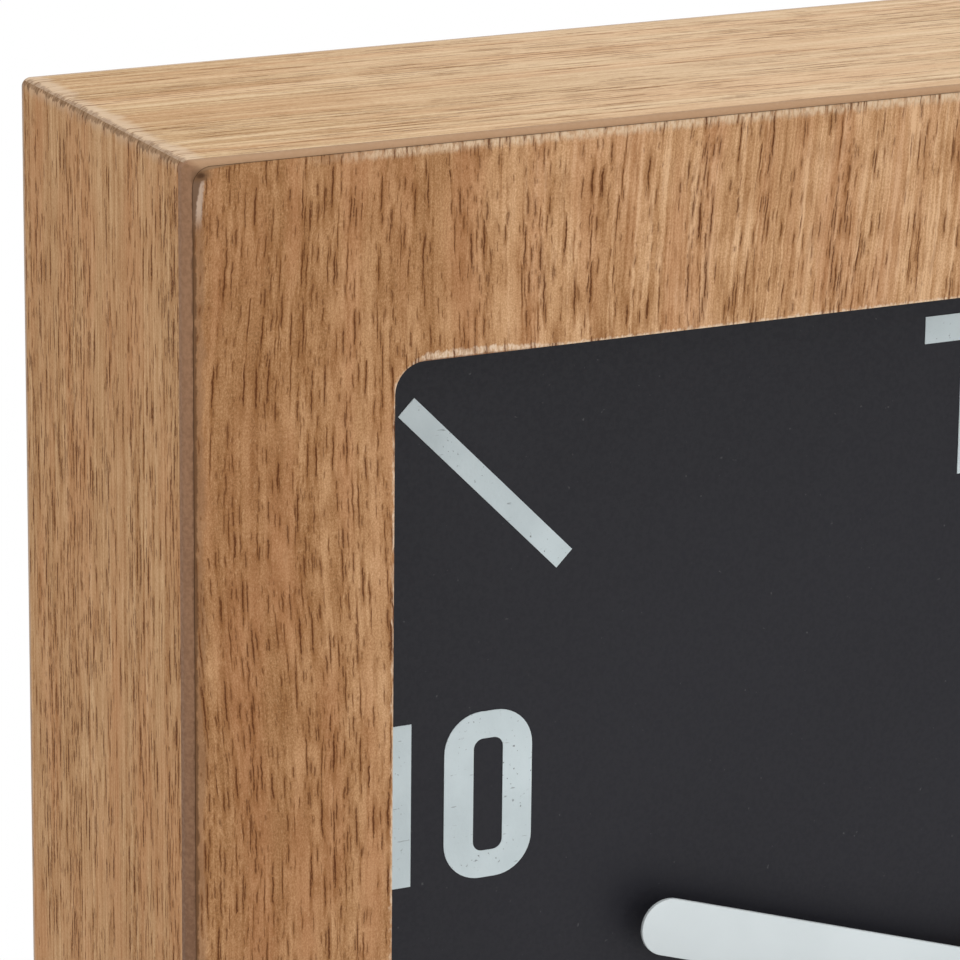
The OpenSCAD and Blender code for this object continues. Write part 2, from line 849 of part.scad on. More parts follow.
module seconds_wheel() {
    color("#d8d4c6") {
        gear(centre_at, seconds_leaves, third_mod, seconds_turn, d_third - step / 4, wheel_t + step);
        gear(centre_at, seconds_teeth, seconds_mod, seconds_wheel_turn, d_seconds, wheel_t);
        mv_rod(centre_at, arbor_r, d_third - step / 4, d_boss - step / 4);
        mv_rod(centre_at, pivot_r, d_shaft_end - pivot_l, d_boss + pivot_l);
    }
}

module intermediate_wheel() {
    color("#e8e6df") train_wheel(inter_at, inter_leaves, seconds_mod, inter_turn, d_seconds,
        inter_teeth, inter_mod, inter_wheel_turn, d_inter);
}

module rotor() {
    color("#d8d4c6") {
        gear(rotor_at, rotor_leaves, inter_mod, rotor_turn, d_inter - step / 4, wheel_t + step / 2);
        mv_rod(rotor_at, arbor_r, d_plate + plate_t + step / 4, d_boss - step / 4);
        mv_rod(rotor_at, pivot_r, d_plate + step / 4, d_boss + pivot_l);
    }
}

module rotor_magnet() {
    color("#4a4a4e") mv_slab(d_magnet, d_magnet + magnet_t) translate(rotor_at) difference() {
        circle(magnet_r);
        circle(arbor_r + screw_gap / 2);
    }
}

// Motor
module coil_core() {
    color("#8c8c90") mv_slab(coil_depth - core_t / 2, coil_depth + core_t / 2) difference() {
        strip(core_low - [0, post_r], core_high + [0, post_r], core_w);
        for (p = [core_low, core_high]) translate(p) circle(post_pin_r + screw_gap);
    }
}

module stator() {
    d0 = coil_depth + core_t / 2;
    color("#a2a2a6") mv_slab(d0, d0 + stator_t) difference() {
        union() {
            translate(rotor_at) circle(stator_ring_r);
            for (p = [core_low, core_high]) {
                strip(p, [stator_x, p.y], core_w);
                strip([stator_x, p.y], rotor_at, core_w);
                translate(p) circle(core_w / 2);
                translate([stator_x, p.y]) circle(core_w / 2);
            }
        }
        translate(rotor_at) circle(stator_hole_r);
        for (p = [core_low, core_high]) translate(p) circle(post_pin_r + screw_gap);
    }
}

// A round piece along the coil's axis, from z0 to z1
module coil_round(r, z0, z1) {
    translate([coil_x, y_mv + coil_depth, mid_z + z0]) cylinder(r = r, h = z1 - z0);
}

module core_slot() {
    translate([coil_x - core_w / 2 - screw_gap, y_mv + coil_depth - core_t / 2 - screw_gap,
        mid_z + coil_low - overrun])
        cube([core_w + 2 * screw_gap, core_t + 2 * screw_gap, coil_high - coil_low + 2 * overrun]);
}

module coil_bobbin() {
    color("#e4e1d8") difference() {
        union() {
            coil_round(bobbin_r, coil_low, coil_high);
            coil_round(coil_r, coil_low, coil_low + flange_t);
            coil_round(coil_r, coil_high - flange_t, coil_high);
        }
        core_slot();
    }
}

module coil_winding() {
    color("#a8592b") difference() {
        coil_round(coil_r - flange_t / 2, coil_low + flange_t, coil_high - flange_t);
        coil_round(bobbin_r + screw_gap, coil_low, coil_high);
    }
}

// Electronics
module circuit_board() {
    color("#2f5d3a") mv_slab(d_board, d_board + board_t) translate(board_low) square([board_w, board_h]);
}

module circuit_chip() {
    color("#1b1b1d") mv_rod(board_low + [board_w - chip_r - board_t, chip_r + board_t], chip_r,
        d_board + board_t, d_board + board_t + chip_t);
}

module quartz_crystal() {
    color("#c9cacc") translate([board_low.x + board_t, y_mv + d_board + board_t + crystal_r,
        mid_z + board_low.y + board_h - 2 * crystal_r])
        rotate([0, 90, 0]) cylinder(r = crystal_r, h = crystal_l);
}

// Battery and its contacts
module contact_plate(side) {
    x0 = side > 0 ? mv_in - contact_t : -mv_in;
    translate([x0, y_mv + battery_depth - contact_w / 2, mid_z + battery_z - contact_h / 2])
        cube([contact_t, contact_w, contact_h]);
}

module positive_contact() {
    color("#c9cacc") contact_plate(1);
}

// The leaf bends in to the flat end of the battery
module negative_contact() {
    reach = mv_in - contact_t - battery_end;
    color("#c9cacc") {
        contact_plate(-1);
        translate([contact_t - mv_in, y_mv + battery_depth, mid_z + battery_z - contact_h / 4])
            linear_extrude(contact_h / 2) polygon([
                [-contact_t / 2, -contact_w / 2], [0, -contact_w / 2], [reach, -spring_t],
                [reach, spring_t], [0, contact_w / 2], [-contact_t / 2, contact_w / 2],
                [-contact_t / 2, contact_w / 2 - 2 * spring_t], [reach - spring_t, 0],
                [-contact_t / 2, 2 * spring_t - contact_w / 2]
            ]);
    }
}

battery_play = 0.05;
battery_end = battery_l + nub_l - (mv_in - contact_t - battery_play);

module battery() {
    color("#3d5a80") translate([-battery_end, y_mv + battery_depth, mid_z + battery_z]) rotate([0, 90, 0]) {
        cylinder(r = battery_r, h = battery_l);
        cylinder(r = nub_r, h = battery_l + nub_l);
    }
}

front_frame();
front_veneer();
top_wall();
right_wall();
bottom_wall();
left_wall();
top_veneer();
right_veneer();
bottom_veneer();
left_veneer();
back_panel();
back_screws();
dial_board();
dial_numerals();
hour_bars();
dial_screws();
rubber_washer();
dial_washer();
fixing_nut();
threaded_bush();
movement_front();
movement_back();
middle_plate();
hour_wheel();
hour_hand();
minute_shaft();
minute_hand();
hand_cap();
motion_wheel();
set_knob();
centre_wheel();
third_wheel();
seconds_wheel();
intermediate_wheel();
rotor();
rotor_magnet();
stator();
coil_core();
coil_bobbin();
coil_winding();
circuit_board();
circuit_chip();
quartz_crystal();
positive_contact();
negative_contact();
battery();
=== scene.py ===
import json
import math

import bmesh
import bpy
from mathutils import Matrix, Vector

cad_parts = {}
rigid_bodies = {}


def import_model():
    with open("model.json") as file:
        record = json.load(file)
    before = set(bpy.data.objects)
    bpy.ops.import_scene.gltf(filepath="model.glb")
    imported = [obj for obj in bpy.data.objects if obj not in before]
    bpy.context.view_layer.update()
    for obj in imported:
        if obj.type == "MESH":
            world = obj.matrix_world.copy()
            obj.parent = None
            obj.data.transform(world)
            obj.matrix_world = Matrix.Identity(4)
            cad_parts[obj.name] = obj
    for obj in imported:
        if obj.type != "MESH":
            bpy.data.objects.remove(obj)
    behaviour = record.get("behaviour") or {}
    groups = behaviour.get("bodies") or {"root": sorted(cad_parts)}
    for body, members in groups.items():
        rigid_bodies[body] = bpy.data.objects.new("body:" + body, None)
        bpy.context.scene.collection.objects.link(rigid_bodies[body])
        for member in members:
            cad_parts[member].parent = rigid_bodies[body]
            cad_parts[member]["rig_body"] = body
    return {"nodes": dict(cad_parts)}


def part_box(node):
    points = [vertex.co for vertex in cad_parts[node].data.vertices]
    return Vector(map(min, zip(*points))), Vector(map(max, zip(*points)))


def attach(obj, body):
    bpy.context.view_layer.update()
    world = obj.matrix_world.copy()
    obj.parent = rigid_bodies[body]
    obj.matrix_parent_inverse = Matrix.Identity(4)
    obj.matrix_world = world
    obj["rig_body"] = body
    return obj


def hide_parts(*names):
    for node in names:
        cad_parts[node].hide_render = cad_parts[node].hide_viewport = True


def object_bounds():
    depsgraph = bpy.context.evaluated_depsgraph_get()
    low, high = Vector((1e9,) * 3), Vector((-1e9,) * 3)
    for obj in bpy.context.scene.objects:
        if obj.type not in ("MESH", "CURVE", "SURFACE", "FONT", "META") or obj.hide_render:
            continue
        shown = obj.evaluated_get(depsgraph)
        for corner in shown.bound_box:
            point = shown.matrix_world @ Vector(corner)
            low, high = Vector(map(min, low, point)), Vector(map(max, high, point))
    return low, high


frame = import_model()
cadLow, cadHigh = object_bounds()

nodes = frame["nodes"]
mm = 0.001
perMetre = 1000.0
half = cadHigh.x
addToScene = bpy.context.scene.collection.objects.link
frontY, backY = cadLow.y, cadHigh.y
print("stage: frame loaded,", len(nodes), "nodes")


# Wiring: short calls for adding and joining nodes in one tree
class Wiring:
    def __init__(self, tree):
        self.tree = tree

    def feed(self, socket, value):
        if isinstance(value, bpy.types.NodeSocket):
            self.tree.links.new(value, socket)
        elif value is not None:
            socket.default_value = value

    def add(self, kind, values=None, **settings):
        made = self.tree.nodes.new(kind)
        for name, value in settings.items():
            setattr(made, name, value)
        for name, value in (values or {}).items():
            self.feed(made.inputs[name], value)
        return made

    def math(self, operation, a, b=None, c=None):
        made = self.add("ShaderNodeMath", operation=operation)
        for socket, value in zip(made.inputs, (a, b, c)):
            self.feed(socket, value)
        return made.outputs[0]

    def times(self, a, b):
        return self.math("MULTIPLY", a, b)

    def timesPlus(self, a, b, c):
        return self.math("MULTIPLY_ADD", a, b, c)

    def over(self, a, b):
        return self.math("DIVIDE", a, b)

    def plus(self, a, b):
        return self.math("ADD", a, b)

    def minus(self, a, b):
        return self.math("SUBTRACT", a, b)

    def most(self, a, b):
        return self.math("MAXIMUM", a, b)

    def ease(self, value, low, high, start=0.0, end=1.0):
        made = self.add("ShaderNodeMapRange", {"Value": value, "From Min": low, "From Max": high,
                                               "To Min": start, "To Max": end},
                        interpolation_type="SMOOTHSTEP")
        return made.outputs["Result"]

    def vector(self, operation, a, b=None):
        made = self.add("ShaderNodeVectorMath", operation=operation)
        self.feed(made.inputs[0], a)
        self.feed(made.inputs[1], b)
        return made.outputs["Value" if operation in ("LENGTH", "DISTANCE") else "Vector"]

    def split(self, vector):
        return self.add("ShaderNodeSeparateXYZ", {"Vector": vector}).outputs

    def join(self, x, y, z):
        return self.add("ShaderNodeCombineXYZ", {"X": x, "Y": y, "Z": z}).outputs["Vector"]

    def noise(self, vector, scale=1.0, detail=2.0, roughness=0.5):
        made = self.add("ShaderNodeTexNoise", {"Vector": vector, "Scale": scale, "Detail": detail,
                                               "Roughness": roughness})
        return made.outputs["Fac"]

    def blend(self, factor, a, b, mode="MIX"):
        made = self.add("ShaderNodeMix", data_type="RGBA", blend_type=mode)
        for index, value in ((0, factor), (6, a), (7, b)):
            self.feed(made.inputs[index], value)
        return made.outputs[2]

    def ramp(self, value, stops):
        made = self.add("ShaderNodeValToRGB", {"Fac": value})
        points = made.color_ramp.elements
        while len(points) < len(stops):
            points.new(0.5)
        for point, (place, colour) in zip(points, stops):
            point.position = place
            point.color = shown(colour)
        return made.outputs["Color"]

    def bump(self, height, strength, distance):
        made = self.add("ShaderNodeBump", {"Height": height, "Strength": strength,
                                           "Distance": distance})
        return made.outputs["Normal"]

    def group(self, tree, values):
        made = self.add("ShaderNodeGroup", node_tree=tree)
        for name, value in values.items():
            self.feed(made.inputs[name], value)
        return made.outputs


def shown(colour):  # a colour as read off a screen, 0 to 255, in the renderer's values
    return (*(c / 12.92 if c <= 0.04045 else ((c + 0.055) / 1.055) ** 2.4
              for c in (level / 255 for level in colour)), 1.0)


number, vector3 = "NodeSocketFloat", "NodeSocketVector"


def newTree(name, kind, inputs, outputs, outputKind=number):
    tree = bpy.data.node_groups.new(name, kind)
    for label, socketKind, value in inputs:
        socket = tree.interface.new_socket(label, in_out="INPUT", socket_type=socketKind)
        if value is not None:
            socket.default_value = value
    for label in outputs:
        tree.interface.new_socket(label, in_out="OUTPUT", socket_type=outputKind)
    wires = Wiring(tree)
    start = wires.add("NodeGroupInput")
    end = wires.add("NodeGroupOutput")
    return tree, wires, start.outputs, end.inputs


# Grain, in millimetres. X runs across it and Y along it. A pore is a thin ragged dash in a soft
# stain, and pores gather in streams; between them run straight hairlines and short brown streaks.
# Each layer has its cell's size, its share of the pore width, its reach either way, the share kept
# and its strength
poreLayers = (
    {"cell": (1.25, 7.5), "width": 1.0, "reach": 2.6, "kept": 0.6, "strength": 1.0},
    {"cell": (0.9, 3.8), "width": 0.8, "reach": 1.3, "kept": 0.4, "strength": 0.85},
    {"cell": (0.6, 2.2), "width": 0.65, "reach": 0.6, "kept": 0.3, "strength": 0.6},
)
grainRates = {  # cycles per millimetre across and along the grain
    "drift": (0.012, 0.008), "wave": (0.12, 0.05), "kink": (0.8, 0.6), "rough": (5.0, 2.2),
    "rows": (0.42, 0.005), "hairs": (1.25, 0.012), "fineHairs": (3.4, 0.05), "streaks": (1.5, 0.22),
    "flecks": (5.0, 1.3), "broad": (0.07, 0.004), "ripple": (0.45, 0.14), "blush": (0.22, 0.03),
    "speck": (5.5, 3.2),
}
grainLimits = {  # the noise values at which each effect begins and is full
    "rows": (0.62, 0.7), "streaks": (0.48, 0.7), "flecks": (0.54, 0.72), "hairs": (0.34, 0.66),
    "tone": (0.36, 0.64), "blush": (0.4, 0.68), "speck": (0.3, 0.7), "crowd": (0.32, 0.68, 0.15, 1.8),
}
poreForm = {
    "widths": (0.6, 1.4), "lengths": (0.3, 1.0), "shortOnes": (0.0, 0.5, 0.6, 1.0), "core": (0.2, 1.6),
    "ragged": 5.0, "stainRagged": 8.0, "stainReach": 16.0,
}
waveReach, kinkReach = 0.8, 0.34  # how far the grain sways aside, in millimetres
crowdAlong, seedStep = 0.012, (37, 91, 0)


def makeGrain():
    tree, w, given, out = newTree("veneerGrain", "ShaderNodeTree", [
        ("Place", vector3, None), ("Pore Share", number, 1.0), ("Pore Width", number, 0.075),
        ("Stream Width", number, 4.0), ("Row Share", number, 0.0), ("Slant", number, 12.0),
        ("Seed", number, 0.0)],
        ("Pores", "Stain", "Streaks", "Flecks", "Hairlines", "Tone", "Blush", "Speck", "Height"))
    place = w.vector("MULTIPLY", given["Place"], (perMetre,) * 3)
    seed = w.join(given["Seed"], given["Seed"], 0.0)
    place = w.vector("ADD", place, w.vector("MULTIPLY", seed, seedStep))

    def sample(vector, across, along, **settings):
        return w.noise(w.vector("MULTIPLY", vector, w.join(across, along, 0.0)), **settings)

    x, y, _ = w.split(place)
    for name, reach in (("drift", given["Slant"]), ("wave", waveReach), ("kink", kinkReach)):
        sway = w.minus(sample(place, *grainRates[name], detail=1.0), 0.5)
        x = w.timesPlus(sway, reach, x)
    flow = w.join(x, y, 0.0)

    def effect(name, **settings):
        return w.ease(sample(flow, *grainRates[name], **settings), *grainLimits[name])

    rough = w.minus(sample(flow, *grainRates["rough"], detail=3.0, roughness=0.8), 0.5)
    crowd = sample(flow, w.over(1.0, given["Stream Width"]), crowdAlong, detail=1.0)
    share = w.times(given["Pore Share"], w.ease(crowd, *grainLimits["crowd"]))
    share = w.timesPlus(effect("rows", detail=0.0), given["Row Share"], share)

    pores = stain = None
    for layer in poreLayers:
        wide, long = layer["cell"]
        cell = w.add("ShaderNodeTexVoronoi", {
            "Vector": w.vector("DIVIDE", flow, (wide, long, 1)), "Scale": 1.0}, voronoi_dimensions="2D")
        middle = w.split(w.vector("MULTIPLY", cell.outputs["Position"], (wide, long, 0)))
        chance = w.add("ShaderNodeSeparateColor", {"Color": cell.outputs["Color"]}).outputs
        halfWidth = w.times(given["Pore Width"], w.ease(chance["Blue"], 0.0, 1.0, *poreForm["widths"]))
        halfWidth = w.times(halfWidth, layer["width"])
        halfLong = w.times(w.ease(chance["Green"], 0.0, 1.0, *poreForm["lengths"]), layer["reach"])
        aside = w.over(w.minus(x, middle["X"]), halfWidth)
        ahead = w.over(w.minus(y, middle["Y"]), halfLong)
        spread = w.plus(w.math("POWER", w.math("ABSOLUTE", aside), 2.0),
                        w.math("POWER", w.math("ABSOLUTE", ahead), 4.0))
        core = w.timesPlus(rough, poreForm["ragged"], spread)
        kept = w.math("LESS_THAN", chance["Red"], w.times(share, layer["kept"]))
        kept = w.times(kept, w.ease(chance["Green"], *poreForm["shortOnes"]))
        core = w.times(kept, w.ease(core, *poreForm["core"], layer["strength"], 0.0))
        around = w.timesPlus(rough, poreForm["stainRagged"], spread)
        around = w.times(kept, w.ease(around, 0.0, poreForm["stainReach"], layer["strength"], 0.0))
        pores = core if pores is None else w.most(pores, core)
        stain = around if stain is None else w.most(stain, around)

    fineHairs = sample(flow, *grainRates["fineHairs"], roughness=0.6)
    hairs = w.timesPlus(sample(flow, *grainRates["hairs"], roughness=0.6), 0.6, w.times(fineHairs, 0.4))
    tone = w.timesPlus(sample(flow, *grainRates["broad"]), 0.5,
                       w.times(sample(flow, *grainRates["ripple"]), 0.5))
    w.feed(out["Pores"], pores)
    w.feed(out["Stain"], stain)
    w.feed(out["Streaks"], effect("streaks", detail=3.0, roughness=0.6))
    w.feed(out["Flecks"], effect("flecks", roughness=0.7))
    w.feed(out["Hairlines"], w.ease(hairs, *grainLimits["hairs"]))
    w.feed(out["Tone"], w.ease(tone, *grainLimits["tone"]))
    w.feed(out["Blush"], effect("blush", detail=1.0))
    w.feed(out["Speck"], effect("speck", detail=3.0, roughness=0.8))
    w.feed(out["Height"], w.minus(w.times(hairs, 0.3), pores))
    return tree


# Case distances: how far a point lies from the case's arrises, rim, front veneer's edge, window
# and back, in millimetres
def makeDistances():
    tree, w, given, out = newTree("caseDistances", "ShaderNodeTree", [
        ("Place", vector3, None), ("Half Width", number, half / mm), ("Front", number, frontY / mm),
        ("Back", number, backY / mm), ("Sheet Half Width", number, 124.0),
        ("Sheet Half Height", number, 124.0), ("Sheet Corner", number, 2.0), ("Droop", number, 0.0),
        ("Droop Reach", number, 6.0), ("Window Half", number, 99.0), ("Window Corner", number, 4.0)],
        ("To Arris", "To Sheet Edge", "To Window", "To Front", "To Back", "To Side", "To Top",
         "From Window Corner", "Upper"))
    x, y, z = w.split(w.vector("MULTIPLY", given["Place"], (perMetre,) * 3))
    above = w.math("ABSOLUTE", w.minus(z, given["Half Width"]))
    aside = w.math("ABSOLUTE", x)
    fromSide = w.minus(given["Half Width"], aside)
    fromTop = w.minus(given["Half Width"], above)

    def outside(halfWidth, halfHeight, corner, up):  # distance out of a rectangle with round corners
        right = w.plus(w.minus(aside, halfWidth), corner)
        up = w.plus(w.minus(up, halfHeight), corner)
        past = w.vector("LENGTH", w.join(w.most(right, 0.0), w.most(up, 0.0), 0.0))
        inward = w.math("MINIMUM", w.most(right, up), 0.0)
        return w.minus(w.plus(past, inward), corner)

    inside = w.minus(given["Sheet Half Width"], aside)
    left = w.minus(1.0, w.over(inside, given["Droop Reach"]))
    droop = w.math("POWER", w.most(left, 0.0), 2.0)
    drooped = w.timesPlus(droop, given["Droop"], above)
    toSheet = outside(given["Sheet Half Width"], given["Sheet Half Height"], given["Sheet Corner"],
                      drooped)
    windowHalf = given["Window Half"]
    toCorner = w.join(w.minus(windowHalf, aside), w.minus(windowHalf, above), 0.0)
    w.feed(out["To Arris"], w.most(fromSide, fromTop))
    w.feed(out["To Sheet Edge"], w.times(toSheet, -1.0))
    w.feed(out["To Window"], outside(windowHalf, windowHalf, given["Window Corner"], above))
    w.feed(out["To Front"], w.minus(y, given["Front"]))
    w.feed(out["To Back"], w.minus(given["Back"], y))
    w.feed(out["To Side"], fromSide)
    w.feed(out["Upper"], w.ease(w.minus(fromSide, fromTop), 0.0, 1.5))
    w.feed(out["To Top"], fromTop)
    w.feed(out["From Window Corner"], w.vector("LENGTH", toCorner))
    return tree


# Worn zone: a strip along an edge whose inner limit wanders, in millimetres
def makeZone():
    tree, w, given, out = newTree("wornZone", "ShaderNodeTree", [
        ("Place", vector3, None), ("Distance", number, 1.0), ("Width", number, 0.6),
        ("Raggedness", number, 0.5), ("Patch Size", number, 1.5), ("Softness", number, 0.4)], ("Mask",))
    scale = w.over(perMetre, given["Patch Size"])
    wander = w.minus(w.noise(given["Place"], scale, detail=3.0, roughness=0.7), 0.5)
    reach = w.timesPlus(wander, given["Raggedness"], given["Width"])
    beyond = w.minus(given["Distance"], reach)
    w.feed(out["Mask"], w.ease(w.over(beyond, given["Softness"]), -0.5, 0.5, 1.0, 0.0))
    return tree


# Speckle: fine dots and a slow cloud, for fibreboard, lacquer, plastic and print
def makeSpeckle():
    tree, w, given, out = newTree("fineSpeckle", "ShaderNodeTree", [
        ("Place", vector3, None), ("Dot Size", number, 0.4), ("Cloud Size", number, 30.0)],
        ("Dots", "Cloud"))
    for label, size, roughness in (("Dots", "Dot Size", 0.6), ("Cloud", "Cloud Size", 0.5)):
        value = w.noise(given["Place"], w.over(perMetre, given[size]), detail=3.0, roughness=roughness)
        w.feed(out[label], w.ease(value, 0.3, 0.7))
    return tree


# Turning: fine lathe rings round the clock's centre line
def makeTurning():
    tree, w, given, out = newTree("turningMarks", "ShaderNodeTree", [
        ("Place", vector3, None), ("Ring Width", number, 0.12), ("Centre Height", number, half / mm)],
        ("Rings",))
    x, y, z = w.split(w.vector("MULTIPLY", given["Place"], (perMetre,) * 3))
    radius = w.vector("LENGTH", w.join(x, w.minus(z, given["Centre Height"]), 0.0))
    ring = given["Ring Width"]
    path = w.vector("DIVIDE", w.join(radius, y, 0.0), w.join(ring, ring, 1.0))
    w.feed(out["Rings"], w.noise(path))
    return tree


grainGroup, distanceGroup, zoneGroup = makeGrain(), makeDistances(), makeZone()
speckleGroup, turningGroup = makeSpeckle(), makeTurning()
print("stage: shared effects made")


def newMaterial(name, **plain):
    material = bpy.data.materials.new(name)
    material.use_nodes = True
    w = Wiring(material.node_tree)
    shader = material.node_tree.nodes["Principled BSDF"]
    for label, value in plain.items():
        shader.inputs[label.replace("_", " ")].default_value = value
    place = w.add("ShaderNodeTexCoord").outputs["Object"]
    return material, w, shader.inputs, place


def speckled(w, place, dot, cloud):
    speckle = w.group(speckleGroup, {"Place": place, "Dot Size": dot, "Cloud Size": cloud})
    return speckle["Dots"], speckle["Cloud"]


def dress(w, shader, colour, marks, rough, height, bump, relief):
    w.feed(shader["Base Color"], colour)
    w.feed(shader["Roughness"], w.ease(marks, 0.0, 1.0, *rough))
    w.feed(shader["Normal"], w.bump(height, bump, relief * mm))


# Veneers. across and along name the case's axes; stops go from the darkest wood to the lightest.
# A stream is a band along the grain where pores crowd: its place across, its reach and the added share
veneers = {
    "veneerFront": {
        "across": "X", "along": "Z", "seed": 1.0, "specular": 0.12,
        "poreShare": 1.1, "poreWidth": 0.083, "stream": 3.0, "rows": 1.6,
        "streams": [(-121.0, 4.0, 1.0), (-106.0, 3.0, 0.3)],
        "slant": 14.0, "base": 0.42, "hair": 0.2, "tone": 0.34, "speck": 0.4,
        "streak": 0.42, "halo": 0.55,
        "stops": ((0.0, (121, 80, 44)), (0.35, (160, 116, 76)), (0.7, (190, 147, 106)),
                  (1.0, (215, 175, 136))),
        "blush": (170, 112, 76), "blushShare": 0.3, "light": (206, 166, 124), "fleck": 0.35,
        "brown": (128, 82, 42), "pore": (84, 42, 12),
        "liftFrom": -117.0, "liftTo": -50.0, "lift": 0.3,
        "straightFrom": -92.0, "straightTo": -66.0, "poreShareStraight": 0.6, "hairStraight": 0.5,
        "leanFrom": 190.0, "leanTo": 280.0, "lean": 4.2,
    },
    "veneerSide": {
        "across": "Y", "along": "Z", "seed": 2.0, "specular": 0.03,
        "poreShare": 0.9, "poreWidth": 0.125, "stream": 5.5, "rows": 1.2,
        "streams": [(-19.0, 5.5, 1.9), (-8.0, 2.2, 0.9), (9.0, 3.5, 1.3), (17.0, 4.0, 0.7)],
        "slant": 4.0, "base": 0.5, "hair": 0.52, "tone": 0.24, "speck": 0.34,
        "streak": 0.26, "halo": 0.28,
        "stops": ((0.0, (142, 98, 60)), (0.35, (172, 131, 92)), (0.7, (191, 152, 112)),
                  (1.0, (211, 176, 137))),
        "blush": (182, 126, 86), "blushShare": 0.35, "light": (210, 178, 138), "fleck": 0.4,
        "brown": (136, 88, 42), "pore": (82, 38, 6),
        "rub": {"width": 0.8, "ragged": 2.6, "patch": 0.8, "soft": 0.35, "share": 0.9},
        "rubLight": (142, 114, 88), "rubDark": (108, 80, 56),
        "pale": {"width": 1.3, "ragged": 3.0, "patch": 2.4, "soft": 1.6, "share": 0.6,
                 "colour": (190, 162, 134)},
    },
    "veneerTop": {
        "across": "Y", "along": "X", "seed": 3.0, "specular": 0.06,
        "poreShare": 1.0, "poreWidth": 0.085, "stream": 7.0, "rows": 1.0,
        "streams": [(-9.0, 4.0, 0.5), (9.0, 6.0, 0.7)],
        "slant": 5.0, "base": 0.56, "hair": 0.66, "tone": 0.26, "speck": 0.46,
        "streak": 0.24, "halo": 0.26, "stretch": 2.2,
        # the top's stops are paler and greyer than the side's: partly the wood's own tone, partly a
        # painted sheen on the top face
        "stops": ((0.0, (146, 109, 70)), (0.35, (174, 141, 103)), (0.7, (189, 159, 122)),
                  (1.0, (205, 178, 143))),
        "blush": (190, 142, 104), "blushShare": 0.25, "light": (222, 196, 162), "fleck": 0.4,
        "brown": (146, 106, 62), "pore": (100, 62, 24),
        "liftFrom": -125.0, "liftTo": -40.0, "lift": 0.1,
        "paleRight": (212, 190, 166), "paleRightShare": 0.28,
        "rub": {"width": 0.7, "ragged": 1.8, "patch": 0.8, "soft": 0.35, "share": 0.9},
        "rubLight": (164, 140, 118), "rubDark": (134, 108, 84),
        "pale": {"width": 2.4, "ragged": 4.5, "patch": 2.4, "soft": 1.6, "share": 0.75,
                 "colour": (198, 174, 148)},
    },
}
poreStrength, veneerRough, veneerBump, woodRelief = 0.9, (0.66, 0.54), 0.35, 0.1
fibreAlong = 0.3  # worn patches are longer along the grain

# Wear, dirt and painted shade. A strip lies along an edge: its width, the reach of its ragged limit, the
# size of the patches there and the softness are in millimetres
wear = {
    "back": {"width": 0.5, "ragged": 0.4, "patch": 1.5, "soft": 0.3, "share": 0.7,
             "colour": (176, 158, 142)},
    "ends": {"width": 0.9, "ragged": 1.6, "patch": 1.2, "soft": 1.0, "share": 0.9,
             "colour": (210, 184, 154), "from": -113.0, "to": -98.0},
    "grey": {"width": 1.2, "ragged": 2.8, "patch": 2.5, "soft": 0.9, "share": 0.6,
             "colour": (136, 101, 73)},
    "window": {"width": 0.2, "ragged": 1.5, "patch": 0.8, "soft": 0.3, "share": 0.8,
               "colour": (222, 198, 172)},
    "scuff": {"width": 0.75, "from": 2.0, "full": 4.5, "near": 10.0, "far": 24.0},
    # rim: a thin dark reddish line along the window's upper edge, by its corners
    "rim": {"width": 0.14, "ragged": 0.7, "patch": 0.8, "soft": 0.2, "share": 0.75,
            "colour": (104, 62, 38)},
    "crumbs": {"scale": 2600.0, "limits": (0.4, 0.56, 0.35, 1.0)},
    "rubbed": {"scale": 2400.0, "limits": (0.42, 0.62)},
    "dirt": {"sheetWidth": 0.34, "bareWidth": 0.12, "topWidth": 0.06, "ragged": 0.9, "topRagged": 0.4,
             "patch": 1.6, "soft": 0.3, "share": 0.84, "topShare": 0.35, "colour": (92, 62, 38)},
    "hook": {"width": 1.15, "ragged": 1.0, "patch": 1.6, "soft": 0.3, "share": 0.8,
             "colour": (188, 164, 144), "begins": (2.0, 2.5), "ends": (5.5, 8.5, 1.0, 0.0),
             "lean": (2.2, 5.5, 0.75, 0.0), "widens": 0.4, "dirtWidens": 0.9},
    # notch and smudge are painted shade by the front veneer's upper corner, a notch's dark shadow and the
    # soft shade round it; their sizes across and down are in millimetres
    "notchShadow": {"across": 0.6, "down": 0.34, "share": 0.9, "colour": (72, 46, 26)},
    "cornerShade": {"across": 1.5, "down": 0.85, "share": 0.75, "colour": (112, 82, 57)},
    "spotAt": (0.95, 1.75), "spotLimits": (0.4, 1.3, 1.0, 0.0), "pastSheet": (-0.1, 0.02, 1.0, 0.0),
}
sheet = {"inSide": 1.06, "inTop": 0.81, "corner": 0.8, "droop": 0.75, "droopReach": 7.0,
         "window": 98.9, "windowCorner": 3.7}  # as cut and worn, in millimetres


def caseDistances(w, place):
    return w.group(distanceGroup, {
        "Place": place, "Sheet Half Width": half / mm - sheet["inSide"],
        "Sheet Half Height": half / mm - sheet["inTop"], "Sheet Corner": sheet["corner"],
        "Droop": sheet["droop"], "Droop Reach": sheet["droopReach"],
        "Window Half": sheet["window"], "Window Corner": sheet["windowCorner"]})


def zone(w, place, distance, strip, width=None):
    return w.group(zoneGroup, {
        "Place": place, "Distance": distance, "Width": strip["width"] if width is None else width,
        "Raggedness": strip["ragged"], "Patch Size": strip["patch"], "Softness": strip["soft"]})["Mask"]


def lay(w, mask, strength, under, colour):
    return w.blend(w.times(mask, strength), under, shown(colour))


def layStrip(w, mask, under, strip):
    return lay(w, mask, strip["share"], under, strip["colour"])


